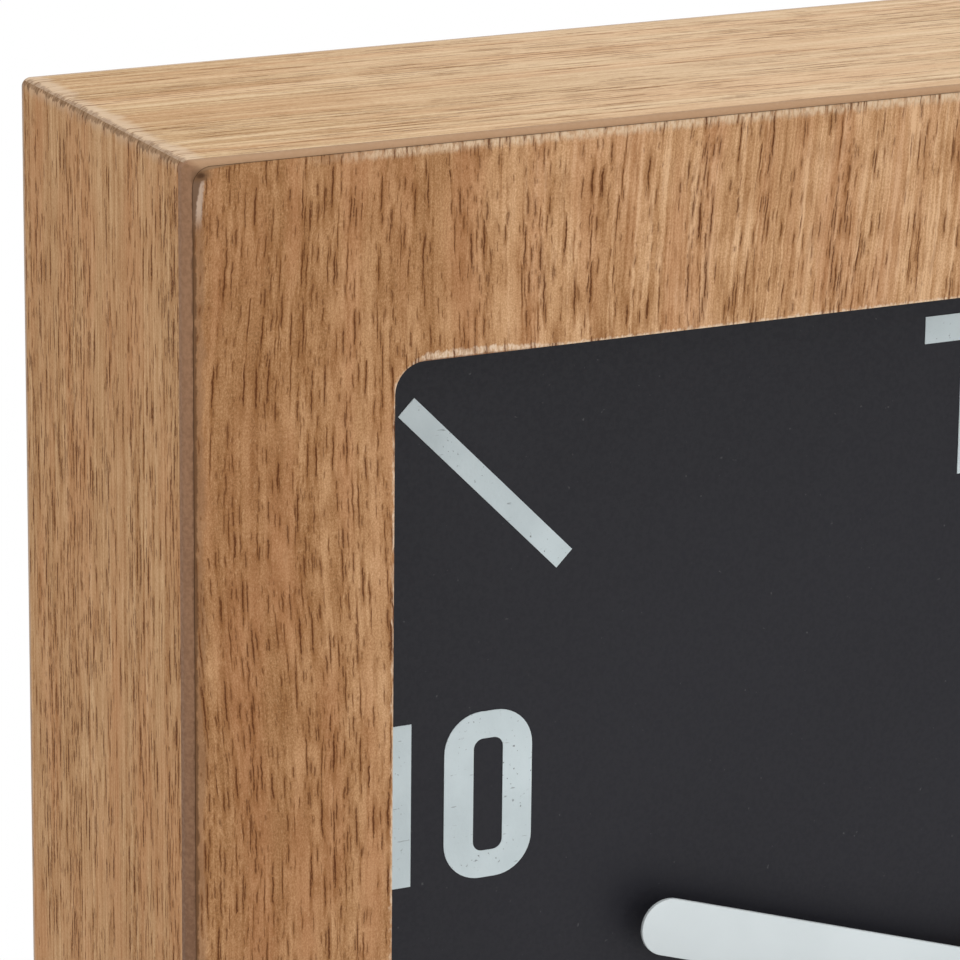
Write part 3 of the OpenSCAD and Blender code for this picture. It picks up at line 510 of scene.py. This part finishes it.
def layDirt(w, place, away, distance, width, colour):  # dirt by the scribed line, fainter at the top
    dirt, upper = wear["dirt"], away["Upper"]
    ragged = w.ease(upper, 0.0, 1.0, dirt["ragged"], dirt["topRagged"])
    mask = zone(w, place, distance, {**dirt, "ragged": ragged},
                w.ease(upper, 0.0, 1.0, width, dirt["topWidth"]))
    return lay(w, mask, w.ease(upper, 0.0, 1.0, dirt["share"], dirt["topShare"]), colour, dirt["colour"])


def layCrumbs(w, fibres, name):
    return w.ease(w.noise(fibres, wear[name]["scale"], detail=3.0, roughness=0.7), *wear[name]["limits"])


def wearFront(w, place, fibres, away, colour):  # pale ends, a greyed side strip, a chewed window edge
    ends, grey, window, scuff, rim = (wear[name] for name in ("ends", "grey", "window", "scuff", "rim"))
    crumbs = layCrumbs(w, fibres, "crumbs")
    mask = zone(w, fibres, away["To Top"], ends, ends["width"] + sheet["inTop"])
    mask = w.times(w.times(mask, crumbs),
                   w.ease(w.split(place)["X"], ends["from"] * mm, ends["to"] * mm))
    colour = layStrip(w, mask, colour, ends)
    mask = zone(w, fibres, away["To Side"], grey, grey["width"] + sheet["inSide"])
    colour = layStrip(w, mask, colour, grey)
    corner = away["From Window Corner"]
    near = w.times(w.ease(corner, scuff["near"], scuff["far"], 1.0, 0.0),
                   w.times(w.ease(corner, scuff["from"], scuff["full"]), away["Upper"]))
    width = w.timesPlus(near, scuff["width"], window["width"])
    mask = w.times(zone(w, fibres, away["To Window"], window, width), crumbs)
    colour = layStrip(w, mask, colour, window)
    # a thin dark reddish line along the window's upper edge
    mask = w.times(zone(w, fibres, away["To Window"], rim), near)
    return layStrip(w, mask, colour, rim)


def layShadeSpot(w, away, colour, mark):  # painted shade: a soft dark spot by the sheet's upper corner, as a notch there would shade it
    inward, down = wear["spotAt"]
    across = w.minus(away["To Side"], sheet["inSide"] + inward)
    down = w.minus(away["To Top"], down)
    off = w.join(w.over(across, mark["across"]), w.over(down, mark["down"]), 0.0)
    return layStrip(w, w.ease(w.vector("LENGTH", off), *wear["spotLimits"]), colour, mark)


def wearAndShadeCorner(w, place, away, colour):  # the front veneer's upper corners: a pale strip below painted shade of a notch, and dirt along the sheet's edge
    hook, down = wear["hook"], away["To Top"]
    past = w.ease(away["To Sheet Edge"], *wear["pastSheet"])
    # past the sheet's cut edge the veneer takes the bare edge's top colour, which includes painted light
    colour = lay(w, past, 1.0, colour, boards["bareEdge"]["upper"])
    lean = w.ease(down, *hook["lean"])
    edge = w.minus(away["To Side"], sheet["inSide"])
    inner = zone(w, place, edge, hook, w.timesPlus(lean, hook["widens"], hook["width"]))
    length = w.times(w.ease(down, *hook["begins"]), w.ease(down, *hook["ends"]))
    colour = layStrip(w, w.times(inner, length), colour, hook)
    groove = w.timesPlus(lean, hook["dirtWidens"], wear["dirt"]["sheetWidth"])
    colour = layDirt(w, place, away, away["To Sheet Edge"], groove, colour)
    return layShadeSpot(w, away, layShadeSpot(w, away, colour, wear["cornerShade"]), wear["notchShadow"])


def makeVeneer(name, look):
    material, w, shader, place = newMaterial(name, Specular_IOR_Level=look["specular"])
    front = name == "veneerFront"
    axes = w.split(place)
    across, along = axes[look["across"]], axes[look["along"]]
    poreShare, hair, shade = look["poreShare"], look["hair"], look["base"]
    if front:
        straight = w.ease(across, look["straightFrom"] * mm, look["straightTo"] * mm)
        lean = w.ease(along, look["leanFrom"] * mm, look["leanTo"] * mm)
        lean = w.times(straight, lean)
        across = w.timesPlus(lean, look["lean"] * -mm, across)
        poreShare = w.timesPlus(straight, look["poreShareStraight"] - poreShare, poreShare)
        hair = w.timesPlus(straight, look["hairStraight"] - hair, hair)
    for at, reach, added in look["streams"]:
        off = w.math("ABSOLUTE", w.minus(across, at * mm))
        poreShare = w.plus(poreShare, w.ease(off, 0.0, reach * mm, added, 0.0))
    grain = w.group(grainGroup, {
        "Place": w.join(across, w.over(along, look.get("stretch", 1.0)), 0.0),
        "Slant": look["slant"], "Pore Share": poreShare,
        "Pore Width": look["poreWidth"], "Stream Width": look["stream"], "Seed": look["seed"],
        "Row Share": look["rows"]})
    if "lift" in look:
        rightward = w.ease(axes["X"], look["liftFrom"] * mm, look["liftTo"] * mm)
        shade = w.timesPlus(rightward, look["lift"], shade)
    for label, share in (("Hairlines", hair), ("Tone", look["tone"]), ("Speck", look["speck"])):
        shade = w.timesPlus(w.minus(grain[label], 0.5), share, shade)
    colour = w.ramp(shade, look["stops"])
    # lighter towards the right
    if "paleRight" in look:
        colour = lay(w, rightward, look["paleRightShare"], colour, look["paleRight"])
    for label, share, tint in (("Blush", "blushShare", "blush"), ("Streaks", "streak", "brown"),
                               ("Flecks", "fleck", "light")):
        colour = lay(w, grain[label], look[share], colour, look[tint])

    away = caseDistances(w, place)
    fibres = w.join(across, w.times(along, fibreAlong), 0.0)
    if front:
        colour = wearFront(w, place, fibres, away, colour)
    else:
        colour = layStrip(w, zone(w, fibres, away["To Arris"], look["pale"]), colour, look["pale"])
    colour = lay(w, grain["Stain"], look["halo"], colour, look["brown"])
    colour = lay(w, grain["Pores"], poreStrength, colour, look["pore"])
    if front:
        colour = wearAndShadeCorner(w, place, away, colour)
    else:
        back = wear["back"]
        colour = layStrip(w, zone(w, place, away["To Back"], back), colour, back)
        worn = w.blend(layCrumbs(w, fibres, "rubbed"), shown(look["rubLight"]), shown(look["rubDark"]))
        rub = zone(w, fibres, away["To Arris"], look["rub"])
        colour = w.blend(w.times(rub, look["rub"]["share"]), colour, worn)
    dress(w, shader, colour, grain["Hairlines"], veneerRough, grain["Height"], veneerBump, woodRelief)
    return material


# Fibreboard: the stained edge round the front, the raw boards behind and the hardboard back
boards = {
    "bareEdge": {"dark": (107, 76, 54), "light": (136, 100, 72), "bump": 0.22, "cloud": 0.35,
                 "lowAt": 155.0, "highAt": 232.0, "spread": 0.5, "lowest": 0.25,
                 # upper: painted light, a paler colour for the band along the top edge, which faces up,
                 # palest at the front
                 "upper": (164, 130, 98), "upperLightBack": (152, 122, 92), "upperLightShare": 0.85,
                 "upperLightReach": 0.7},
    "rawBoard": {"dark": (138, 112, 86), "light": (160, 134, 106), "bump": 0.3, "cloud": 0.4},
    "backBoard": {"dark": (84, 60, 42), "light": (104, 78, 57), "bump": 0.3, "cloud": 0.22},
}
boardFleck, boardCloud, boardRough = 0.5, 14.0, (0.8, 0.62)
darkAt, lightAt = 0.15, 0.85


def makeBoard(name, look):
    material, w, shader, place = newMaterial(name, Specular_IOR_Level=0.3)
    dots, cloud = speckled(w, place, boardFleck, boardCloud)
    value = w.timesPlus(dots, 1.0 - look["cloud"], w.times(cloud, look["cloud"]))
    bare = name == "bareEdge"
    if bare:  # paler towards the top
        high = w.ease(w.split(place)["Z"], look["lowAt"] * mm, look["highAt"] * mm)
        value = w.timesPlus(w.minus(value, 0.5), 1.0 - look["spread"],
                            w.timesPlus(high, look["spread"], look["lowest"]))
    colour = w.ramp(value, ((darkAt, look["dark"]), (lightAt, look["light"])))
    if bare:
        away = caseDistances(w, place)
        # painted light: the band along the top edge, which faces up, takes a paler colour than the side
        # band, palest at the front
        upper = w.blend(w.ease(away["To Front"], 0.0, look["upperLightReach"]), shown(look["upper"]),
                        shown(look["upperLightBack"]))
        colour = w.blend(w.times(away["Upper"], look["upperLightShare"]), colour, upper)
        pastSheet = w.times(away["To Sheet Edge"], -1.0)
        colour = layDirt(w, place, away, pastSheet, wear["dirt"]["bareWidth"], colour)
        # painted shade by the upper corner, carried onto the bare edge
        colour = layShadeSpot(w, away, colour, wear["cornerShade"])
    dress(w, shader, colour, dots, boardRough, dots, look["bump"], woodRelief)
    return material


# Dial: matt lacquer with a little dust, and print with pits where the ink has not taken
dialLook = {
    "lacquer": (21, 21, 28), "haze": (24, 24, 31), "dot": 0.5, "cloud": 40.0, "rough": (0.5, 0.62),
    "bump": 0.12, "dust": (84, 84, 86), "dustScale": 1400.0, "dustLimits": (0.77, 0.85, 0.0, 0.5),
}
printLook = {
    "ink": (210, 222, 225), "inkDull": (198, 210, 213), "dot": 0.6, "cloud": 8.0, "rough": (0.55, 0.7),
    "bump": 0.3, "pit": (110, 115, 118), "pitScale": 2100.0, "pitLimits": (0.66, 0.73),
    "crowdScale": 160.0, "crowdLimits": (0.4, 0.65),
    "scratchScale": (420, 420, 2600), "scratchLimits": (0.7, 0.75, 0.0, 0.6),
}
lacquerRelief = 0.05


def makeDial():
    look = dialLook
    material, w, shader, place = newMaterial("dialLacquer", Specular_IOR_Level=0.31)
    dots, cloud = speckled(w, place, look["dot"], look["cloud"])
    colour = w.blend(cloud, shown(look["lacquer"]), shown(look["haze"]))
    dust = w.ease(w.noise(place, look["dustScale"], detail=1.0), *look["dustLimits"])
    colour = w.blend(dust, colour, shown(look["dust"]))
    dress(w, shader, colour, dots, look["rough"], dots, look["bump"], lacquerRelief)
    return material


def makePrint():
    look = printLook
    material, w, shader, place = newMaterial("dialInk", Specular_IOR_Level=0.3)
    dots, cloud = speckled(w, place, look["dot"], look["cloud"])
    colour = w.blend(cloud, shown(look["inkDull"]), shown(look["ink"]))
    crowd = w.ease(w.noise(place, look["crowdScale"], detail=1.0), *look["crowdLimits"])
    pits = w.times(w.ease(w.noise(place, look["pitScale"]), *look["pitLimits"]), crowd)
    scratch = w.noise(w.vector("MULTIPLY", place, look["scratchScale"]), roughness=0.6)
    pits = w.most(pits, w.ease(scratch, *look["scratchLimits"]))
    colour = w.blend(pits, colour, shown(look["pit"]))
    dress(w, shader, colour, dots, look["rough"], w.minus(dots, pits), look["bump"], lacquerRelief)
    return material


# Paint, plastic, rubber and resin: one colour with a slow cloud and a fine moulded or sprayed surface
plains = {
    "handPaint": {"colour": (209, 217, 219), "spread": 3, "rough": (0.42, 0.5), "dot": 0.6, "bump": 0.05},
    "shellPlastic": {"colour": (40, 40, 42), "spread": 3, "rough": (0.5, 0.62), "dot": 0.3, "bump": 0.35},
    "knobPlastic": {"colour": (56, 56, 59), "spread": 3, "rough": (0.42, 0.52), "dot": 0.4, "bump": 0.15},
    "naturalPlastic": {"colour": (218, 215, 204), "spread": 5, "rough": (0.4, 0.5), "dot": 0.5,
                       "bump": 0.08},
    "amberPlastic": {"colour": (208, 179, 124), "spread": 6, "rough": (0.38, 0.48), "dot": 0.5,
                     "bump": 0.08},
    "blackRubber": {"colour": (32, 32, 33), "spread": 3, "rough": (0.75, 0.88), "dot": 0.3, "bump": 0.3},
    "chipResin": {"colour": (26, 26, 28), "spread": 3, "rough": (0.35, 0.5), "dot": 0.6, "bump": 0.1},
    "boardGreen": {"colour": (42, 94, 56), "spread": 6, "rough": (0.3, 0.42), "dot": 0.5, "bump": 0.06},
}
plainCloud, plainRelief = 18.0, 0.06

# Metals: turned brass, plated steel, iron, wire
metals = {
    "turnedBrass": {"colour": (202, 168, 104), "spread": 8, "rough": (0.24, 0.4), "turned": True},
    "screwZinc": {"colour": (190, 188, 180), "spread": 10, "rough": (0.3, 0.48)},
    "softIron": {"colour": (150, 150, 152), "spread": 8, "rough": (0.35, 0.5)},
    "magnetGrey": {"colour": (88, 88, 92), "spread": 5, "rough": (0.5, 0.62)},
    "copperWire": {"colour": (184, 104, 60), "spread": 8, "rough": (0.28, 0.4)},
    "nickelPlate": {"colour": (204, 203, 200), "spread": 6, "rough": (0.16, 0.3)},
}
metalDot, metalCloud, metalBump, metalRelief = 0.4, 5.0, 0.15, 0.03
markLimits = (0.2, 0.8)


def clouded(w, cloud, look):
    darker = [level - look["spread"] for level in look["colour"]]
    lighter = [level + look["spread"] for level in look["colour"]]
    return w.blend(cloud, shown(darker), shown(lighter))


def makePlain(name, look):
    material, w, shader, place = newMaterial(name)
    dots, cloud = speckled(w, place, look["dot"], plainCloud)
    colour = clouded(w, cloud, look)
    dress(w, shader, colour, dots, look["rough"], dots, look["bump"], plainRelief)
    return material


def makeMetal(name, look):
    material, w, shader, place = newMaterial(name, Metallic=1.0)
    dots, cloud = speckled(w, place, metalDot, metalCloud)
    marks = w.group(turningGroup, {"Place": place})["Rings"] if "turned" in look else dots
    w.feed(shader["Base Color"], clouded(w, cloud, look))
    w.feed(shader["Roughness"], w.ease(marks, *markLimits, *look["rough"]))
    w.feed(shader["Normal"], w.bump(marks, metalBump, metalRelief * mm))
    return material


# Battery: a plain film sleeve between two plated ends
batteryLook = {"sleeve": (62, 91, 131), "sleeveLight": (66, 96, 136), "plate": (196, 196, 192),
               "bareEnd": 0.8, "nub": 1.0, "dot": 0.4, "cloud": 10.0, "rough": (0.3, 0.4),
               "bump": 0.05, "relief": 0.04}


def makeBattery():
    look = batteryLook
    material, w, shader, place = newMaterial("batterySleeve", Coat_Weight=0.3, Coat_Roughness=0.2)
    low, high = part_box("battery")
    x = w.split(place)["X"]
    left = w.math("LESS_THAN", x, low.x + look["bareEnd"] * mm)
    right = w.math("GREATER_THAN", x, high.x - (look["nub"] + look["bareEnd"]) * mm)
    bare = w.most(left, right)
    dots, cloud = speckled(w, place, look["dot"], look["cloud"])
    colour = w.blend(cloud, shown(look["sleeve"]), shown(look["sleeveLight"]))
    w.feed(shader["Metallic"], bare)
    colour = w.blend(bare, colour, shown(look["plate"]))
    dress(w, shader, colour, dots, look["rough"], dots, look["bump"], look["relief"])
    return material


finishes = {"dialLacquer": makeDial(), "dialInk": makePrint(), "batterySleeve": makeBattery()}
for make, looks in ((makeVeneer, veneers), (makeBoard, boards), (makePlain, plains), (makeMetal, metals)):
    finishes.update({name: make(name, look) for name, look in looks.items()})

wearing = {
    "veneerFront": ["front_veneer"],
    "veneerSide": ["left_veneer", "right_veneer"],
    "veneerTop": ["top_veneer", "bottom_veneer"],
    "bareEdge": ["front_frame"],
    "rawBoard": ["top_wall", "right_wall", "bottom_wall", "left_wall"],
    "backBoard": ["back_panel"],
    "dialLacquer": ["dial_board"],
    "dialInk": ["dial_numerals", "hour_bars"],
    "turnedBrass": ["threaded_bush", "minute_shaft"],
    "blackRubber": ["rubber_washer"],
    "shellPlastic": ["movement_front"],
    "naturalPlastic": ["middle_plate", "hour_wheel", "motion_wheel", "third_wheel", "seconds_wheel",
                       "intermediate_wheel", "rotor", "coil_bobbin"],
    "amberPlastic": ["centre_wheel"],
    "magnetGrey": ["rotor_magnet"],
    "softIron": ["stator", "coil_core"],
    "copperWire": ["coil_winding"],
    "boardGreen": ["circuit_board"],
    "chipResin": ["circuit_chip"],
    "nickelPlate": ["quartz_crystal", "positive_contact", "negative_contact"],
}
for finish, names in wearing.items():
    for name in names:
        for slot in nodes[name].material_slots:
            slot.material = finishes[finish]
print("stage: finishes on", sum(len(names) for names in wearing.values()), "nodes")


# Softened pieces: the CAD form with its corners broken, as stamping, moulding and turning leave them.
# bevel is in millimetres; edges meeting at less than the sharp angle are left smooth
sharpAngle, flatAngle = math.radians(32), math.radians(0.5)
weldReach = 0.002
softened = {
    "hour_hand": {"piece": "hourHand", "finish": "handPaint", "slot": "hand_paint", "bevel": 0.14},
    "minute_hand": {"piece": "minuteHand", "finish": "handPaint", "slot": "hand_paint", "bevel": 0.14},
    "hand_cap": {"piece": "handCap", "finish": "handPaint", "slot": "hand_paint", "bevel": 0.12},
    "fixing_nut": {"piece": "fixingNut", "finish": "turnedBrass", "slot": "brass", "bevel": 0.16},
    "dial_washer": {"piece": "dialWasher", "finish": "turnedBrass", "slot": "brass", "bevel": 0.1},
    "movement_back": {"piece": "movementShell", "finish": "shellPlastic", "slot": "shell_plastic",
                      "bevel": 0.25},
    "set_knob": {"piece": "settingKnob", "finish": "knobPlastic", "slot": "knob_plastic", "bevel": 0.12},
    "battery": {"piece": "batteryCell", "finish": "batterySleeve", "slot": "battery_wrap", "bevel": 0.4},
}


def makeSoftened(node, look):
    form = bmesh.new()
    form.from_mesh(nodes[node].data)
    bmesh.ops.remove_doubles(form, verts=form.verts, dist=weldReach * mm)
    bmesh.ops.dissolve_limit(form, angle_limit=flatAngle, verts=form.verts, edges=form.edges)
    sharp = [e for e in form.edges if e.is_manifold and e.calc_face_angle() > sharpAngle]
    bmesh.ops.bevel(form, geom=sharp, offset=look["bevel"] * mm, segments=2, profile=0.5,
                    affect="EDGES", clamp_overlap=True)
    bmesh.ops.triangulate(form, faces=[f for f in form.faces if len(f.verts) > 4])
    for face in form.faces:
        face.smooth = True
    for edge in form.edges:
        edge.smooth = not edge.is_manifold or edge.calc_face_angle() < sharpAngle
    mesh = bpy.data.meshes.new(look["piece"])
    form.to_mesh(mesh)
    form.free()
    mesh.materials.append(finishes[look["finish"]])
    placePiece(look["piece"], mesh, nodes[node]["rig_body"], node)


def placePiece(name, mesh, body, node):
    piece = bpy.data.objects.new(name, mesh)
    addToScene(piece)
    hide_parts(node)
    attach(piece, body)


for node, look in softened.items():
    makeSoftened(node, look)
print("stage: corners broken on", len(softened), "pieces")


# Wood screws: slotted round heads on four sides of a square, each slot turned at random
screwLook = {"Head Radius": 2.5, "Head Height": 1.4, "Shank Radius": 1.2, "Shank Length": 9.0,
             "Slot Width": 0.6, "Slot Depth": 0.7}
screwForm = {"segments": 40, "rings": 32, "sides": 24, "tipShare": 0.2, "blockShare": 3.0}
screwsPerSide = 3
screwRows = {
    "backScrews": {"node": "back_screws", "seed": 4},
    "dialScrews": {"node": "dial_screws", "seed": 9},
}


def makeScrewTree():
    inputs = [("Per Side", "NodeSocketInt", 3), ("Seed", "NodeSocketInt", 0),
              ("Finish", "NodeSocketMaterial", None), ("Reach", number, 1.0)]
    inputs += [(size, number, 1.0) for size in screwLook]
    tree, w, given, out = newTree("woodScrews", "GeometryNodeTree", inputs, ("Screws",),
                                  "NodeSocketGeometry")
    radius, height = given["Head Radius"], given["Head Height"]

    # The dome is the cap of a ball that meets the head's radius at the face
    square = w.timesPlus(radius, radius, w.times(height, height))
    ballRadius = w.over(square, w.times(height, 2.0))
    ball = w.add("GeometryNodeMeshUVSphere", {
        "Segments": screwForm["segments"], "Rings": screwForm["rings"], "Radius": ballRadius})
    ball = w.add("GeometryNodeTransform", {"Geometry": ball.outputs["Mesh"], "Translation": w.join(
        0.0, 0.0, w.minus(height, ballRadius))})
    width = w.times(radius, screwForm["blockShare"])
    above = w.add("GeometryNodeMeshCube", {"Size": w.join(width, width, width)})
    above = w.add("GeometryNodeTransform", {"Geometry": above.outputs["Mesh"], "Translation": w.join(
        0.0, 0.0, w.times(width, 0.5))})
    dome = w.add("GeometryNodeMeshBoolean", operation="INTERSECT")
    w.feed(dome.inputs["Mesh 2"], ball.outputs["Geometry"])
    w.feed(dome.inputs["Mesh 2"], above.outputs["Geometry"])
    cutter = w.add("GeometryNodeMeshCube", {"Size": w.join(width, given["Slot Width"], width)})
    lift = w.timesPlus(width, 0.5, w.minus(height, given["Slot Depth"]))
    cutter = w.add("GeometryNodeTransform", {"Geometry": cutter.outputs["Mesh"],
                                             "Translation": w.join(0.0, 0.0, lift)})
    head = w.add("GeometryNodeMeshBoolean", operation="DIFFERENCE")
    w.feed(head.inputs["Mesh 1"], dome.outputs["Mesh"])
    w.feed(head.inputs["Mesh 2"], cutter.outputs["Geometry"])
    shankRadius, shankLength = given["Shank Radius"], given["Shank Length"]
    shank = w.add("GeometryNodeMeshCone", {
        "Vertices": screwForm["sides"], "Radius Top": shankRadius, "Depth": shankLength,
        "Radius Bottom": w.times(shankRadius, screwForm["tipShare"])})
    shank = w.add("GeometryNodeTransform", {"Geometry": shank.outputs["Mesh"], "Translation": w.join(
        0.0, 0.0, w.times(shankLength, -1.0))})
    screw = w.add("GeometryNodeJoinGeometry")
    w.feed(screw.inputs["Geometry"], head.outputs["Mesh"])
    w.feed(screw.inputs["Geometry"], shank.outputs["Geometry"])

    # One side's row, then three turned copies of it
    pitch = w.over(w.times(given["Reach"], 2.0), given["Per Side"])
    first = w.minus(w.times(pitch, 0.5), given["Reach"])
    row = w.add("GeometryNodeMeshLine", {"Count": given["Per Side"], "Start Location": w.join(
        first, given["Reach"], 0.0), "Offset": w.join(pitch, 0.0, 0.0)}, mode="OFFSET")
    sides = w.add("GeometryNodeJoinGeometry")
    for quarter in range(4):
        turned = w.add("GeometryNodeTransform", {"Geometry": row.outputs["Mesh"],
                                                 "Rotation": (0, 0, quarter * math.pi / 2)})
        w.feed(sides.inputs["Geometry"], turned.outputs["Geometry"])
    spin = w.add("FunctionNodeRandomValue", data_type="FLOAT_VECTOR")
    spin.inputs[1].default_value = (0, 0, math.pi)
    w.feed(spin.inputs["Seed"], given["Seed"])
    placed = w.add("GeometryNodeInstanceOnPoints", {"Points": sides.outputs["Geometry"],
                                                    "Instance": screw.outputs["Geometry"],
                                                    "Rotation": spin.outputs["Value"]})
    upright = w.add("GeometryNodeTransform", {"Geometry": placed.outputs["Instances"],
                                              "Rotation": (-math.pi / 2, 0, 0)})
    real = w.add("GeometryNodeRealizeInstances", {"Geometry": upright.outputs["Geometry"]})
    fold = w.add("GeometryNodeInputMeshEdgeAngle").outputs["Unsigned Angle"]
    smooth = w.add("GeometryNodeSetShadeSmooth", {
        "Geometry": real.outputs["Geometry"], "Selection": w.math("GREATER_THAN", fold, sharpAngle),
        "Shade Smooth": False}, domain="EDGE")
    dressed = w.add("GeometryNodeSetMaterial", {"Geometry": smooth.outputs["Geometry"],
                                                "Material": given["Finish"]})
    w.feed(out["Screws"], dressed.outputs["Geometry"])
    return tree


def grow(name, tree, values):
    holder = bpy.data.objects.new(name + "Holder", bpy.data.meshes.new(name + "Holder"))
    addToScene(holder)
    modifier = holder.modifiers.new("grow", "NODES")
    modifier.node_group = tree
    for item in tree.interface.items_tree:
        if item.item_type == "SOCKET" and item.in_out == "INPUT":
            modifier[item.identifier] = values[item.name]
    seen = holder.evaluated_get(bpy.context.evaluated_depsgraph_get())
    mesh = bpy.data.meshes.new_from_object(seen)
    holder.modifiers.remove(modifier)
    bpy.data.objects.remove(holder)
    mesh.name = name
    return mesh


def makeScrews():
    tree = makeScrewTree()
    for name, look in screwRows.items():
        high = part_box(look["node"])[1]
        mesh = grow(name, tree, {
            "Per Side": screwsPerSide, "Seed": look["seed"], "Finish": finishes["screwZinc"],
            "Reach": high.x - screwLook["Head Radius"] * mm,
            **{size: value * mm for size, value in screwLook.items()}})
        mesh.transform(Matrix.Translation((0, high.y - screwLook["Head Height"] * mm, half)))
        placePiece(name, mesh, "case", look["node"])


makeScrews()
print("stage: screws driven")


# Studio: a pale floor that turns white away from the clock, a white surround and three soft lamps
studio = {
    "floorSize": 12.0, "floorColours": ((222, 222, 222), (228, 228, 228)), "mottle": 9.0,
    "whiteFrom": 0.2, "whiteTo": 0.34, "surround": 0.44,
    "lamps": [
        {"name": "overheadSoft", "at": (0.05, -0.1, 0.95), "size": 0.9, "watts": 5.8},
        {"name": "frontSoft", "at": (-0.32, -1.95, 0.55), "size": 1.3, "watts": 13.8},
        {"name": "sideSoft", "at": (-1.9, -0.3, 0.5), "size": 1.0, "watts": 10.2},
    ],
}


def seenDirectly(w):  # 1 for rays from the camera, from gloss and through glass
    path = w.add("ShaderNodeLightPath").outputs
    seen = w.most(path["Is Glossy Ray"], path["Is Transmission Ray"])
    return w.most(path["Is Camera Ray"], seen)


def makeFloor():
    reach = studio["floorSize"] / 2
    mesh = bpy.data.meshes.new("floorSheet")
    mesh.from_pydata([(-reach, -reach, 0), (reach, -reach, 0), (reach, reach, 0), (-reach, reach, 0)],
                     [], [(0, 1, 2, 3)])
    floor = bpy.data.objects.new("floorSheet", mesh)
    addToScene(floor)
    material = bpy.data.materials.new("floorPaper")
    material.use_nodes = True
    w = Wiring(material.node_tree)
    material.node_tree.nodes.clear()
    place = w.add("ShaderNodeTexCoord").outputs["Object"]
    dull, bright = studio["floorColours"]
    mottle = w.noise(place, studio["mottle"])
    paper = w.add("ShaderNodeBsdfDiffuse", {"Color": w.blend(mottle, shown(dull), shown(bright))})
    white = w.add("ShaderNodeEmission", {"Color": (1, 1, 1, 1), "Strength": 1.0})
    fade = w.ease(w.vector("LENGTH", place), studio["whiteFrom"], studio["whiteTo"])
    mixed = w.add("ShaderNodeMixShader")
    w.feed(mixed.inputs[0], w.times(seenDirectly(w), fade))
    w.feed(mixed.inputs[1], paper.outputs[0])
    w.feed(mixed.inputs[2], white.outputs[0])
    w.add("ShaderNodeOutputMaterial", {"Surface": mixed.outputs[0]})
    mesh.materials.append(material)


def makeSurround():
    world = bpy.data.worlds.new("studioWhite")
    bpy.context.scene.world = world
    world.use_nodes = True
    w = Wiring(world.node_tree)
    world.node_tree.nodes.clear()
    strength = w.ease(seenDirectly(w), 0.0, 1.0, studio["surround"], 1.0)
    back = w.add("ShaderNodeBackground", {"Color": (1, 1, 1, 1), "Strength": strength})
    w.add("ShaderNodeOutputWorld", {"Surface": back.outputs[0]})


def makeLamps():
    for look in studio["lamps"]:
        light = bpy.data.lights.new(look["name"], "AREA")
        light.shape = "SQUARE"
        light.size = look["size"]
        light.energy = look["watts"]
        lamp = bpy.data.objects.new(look["name"], light)
        lamp.location = look["at"]
        lamp.rotation_mode = "QUATERNION"
        lamp.rotation_quaternion = (Vector((0, 0, half)) - Vector(look["at"])).to_track_quat("-Z", "Y")
        addToScene(lamp)


makeFloor()
makeSurround()
makeLamps()
print("stage: studio lit")


# Camera: it puts the case's upper left front corner on a chosen pixel of the picture. Angles are in
# degrees, the sensor in millimetres, and the corner's depth and the clip range in metres
view = {
    "azimuth": -26.5216, "elevation": 16.3342, "roll": 0.62473,
    "pixels": 960, "focalPixels": 5394.69, "sensor": 36.0,
    "cornerPixel": (183.952, 162.016), "cornerDepth": 0.597439, "clip": (0.02, 50),
}


def makeCamera():
    azimuth, elevation, roll = (math.radians(view[k]) for k in ("azimuth", "elevation", "roll"))
    back = Vector((math.sin(azimuth) * math.cos(elevation), -math.cos(azimuth) * math.cos(elevation),
                   math.sin(elevation)))
    level = Vector((math.cos(azimuth), math.sin(azimuth), 0))
    upright = back.cross(level)
    right = level * math.cos(roll) + upright * math.sin(roll)
    up = upright * math.cos(roll) - level * math.sin(roll)
    scale = view["cornerDepth"] / view["focalPixels"]
    middle = view["pixels"] / 2
    aside = (view["cornerPixel"][0] - middle) * scale
    above = (middle - view["cornerPixel"][1]) * scale
    corner = Vector((cadLow.x, cadLow.y, cadHigh.z))
    eye = corner - right * aside - up * above + back * view["cornerDepth"]
    data = bpy.data.cameras.new("photoCamera")
    data.sensor_width = view["sensor"]
    data.lens = view["focalPixels"] * view["sensor"] / view["pixels"]
    data.clip_start, data.clip_end = view["clip"]
    camera = bpy.data.objects.new("photoCamera", data)
    camera.matrix_world = Matrix((
        (right.x, up.x, back.x, eye.x), (right.y, up.y, back.y, eye.y),
        (right.z, up.z, back.z, eye.z), (0, 0, 0, 1)))
    addToScene(camera)
    bpy.context.scene.camera = camera


makeCamera()
bpy.context.scene.view_settings.view_transform = "Standard"
print("stage: camera set")
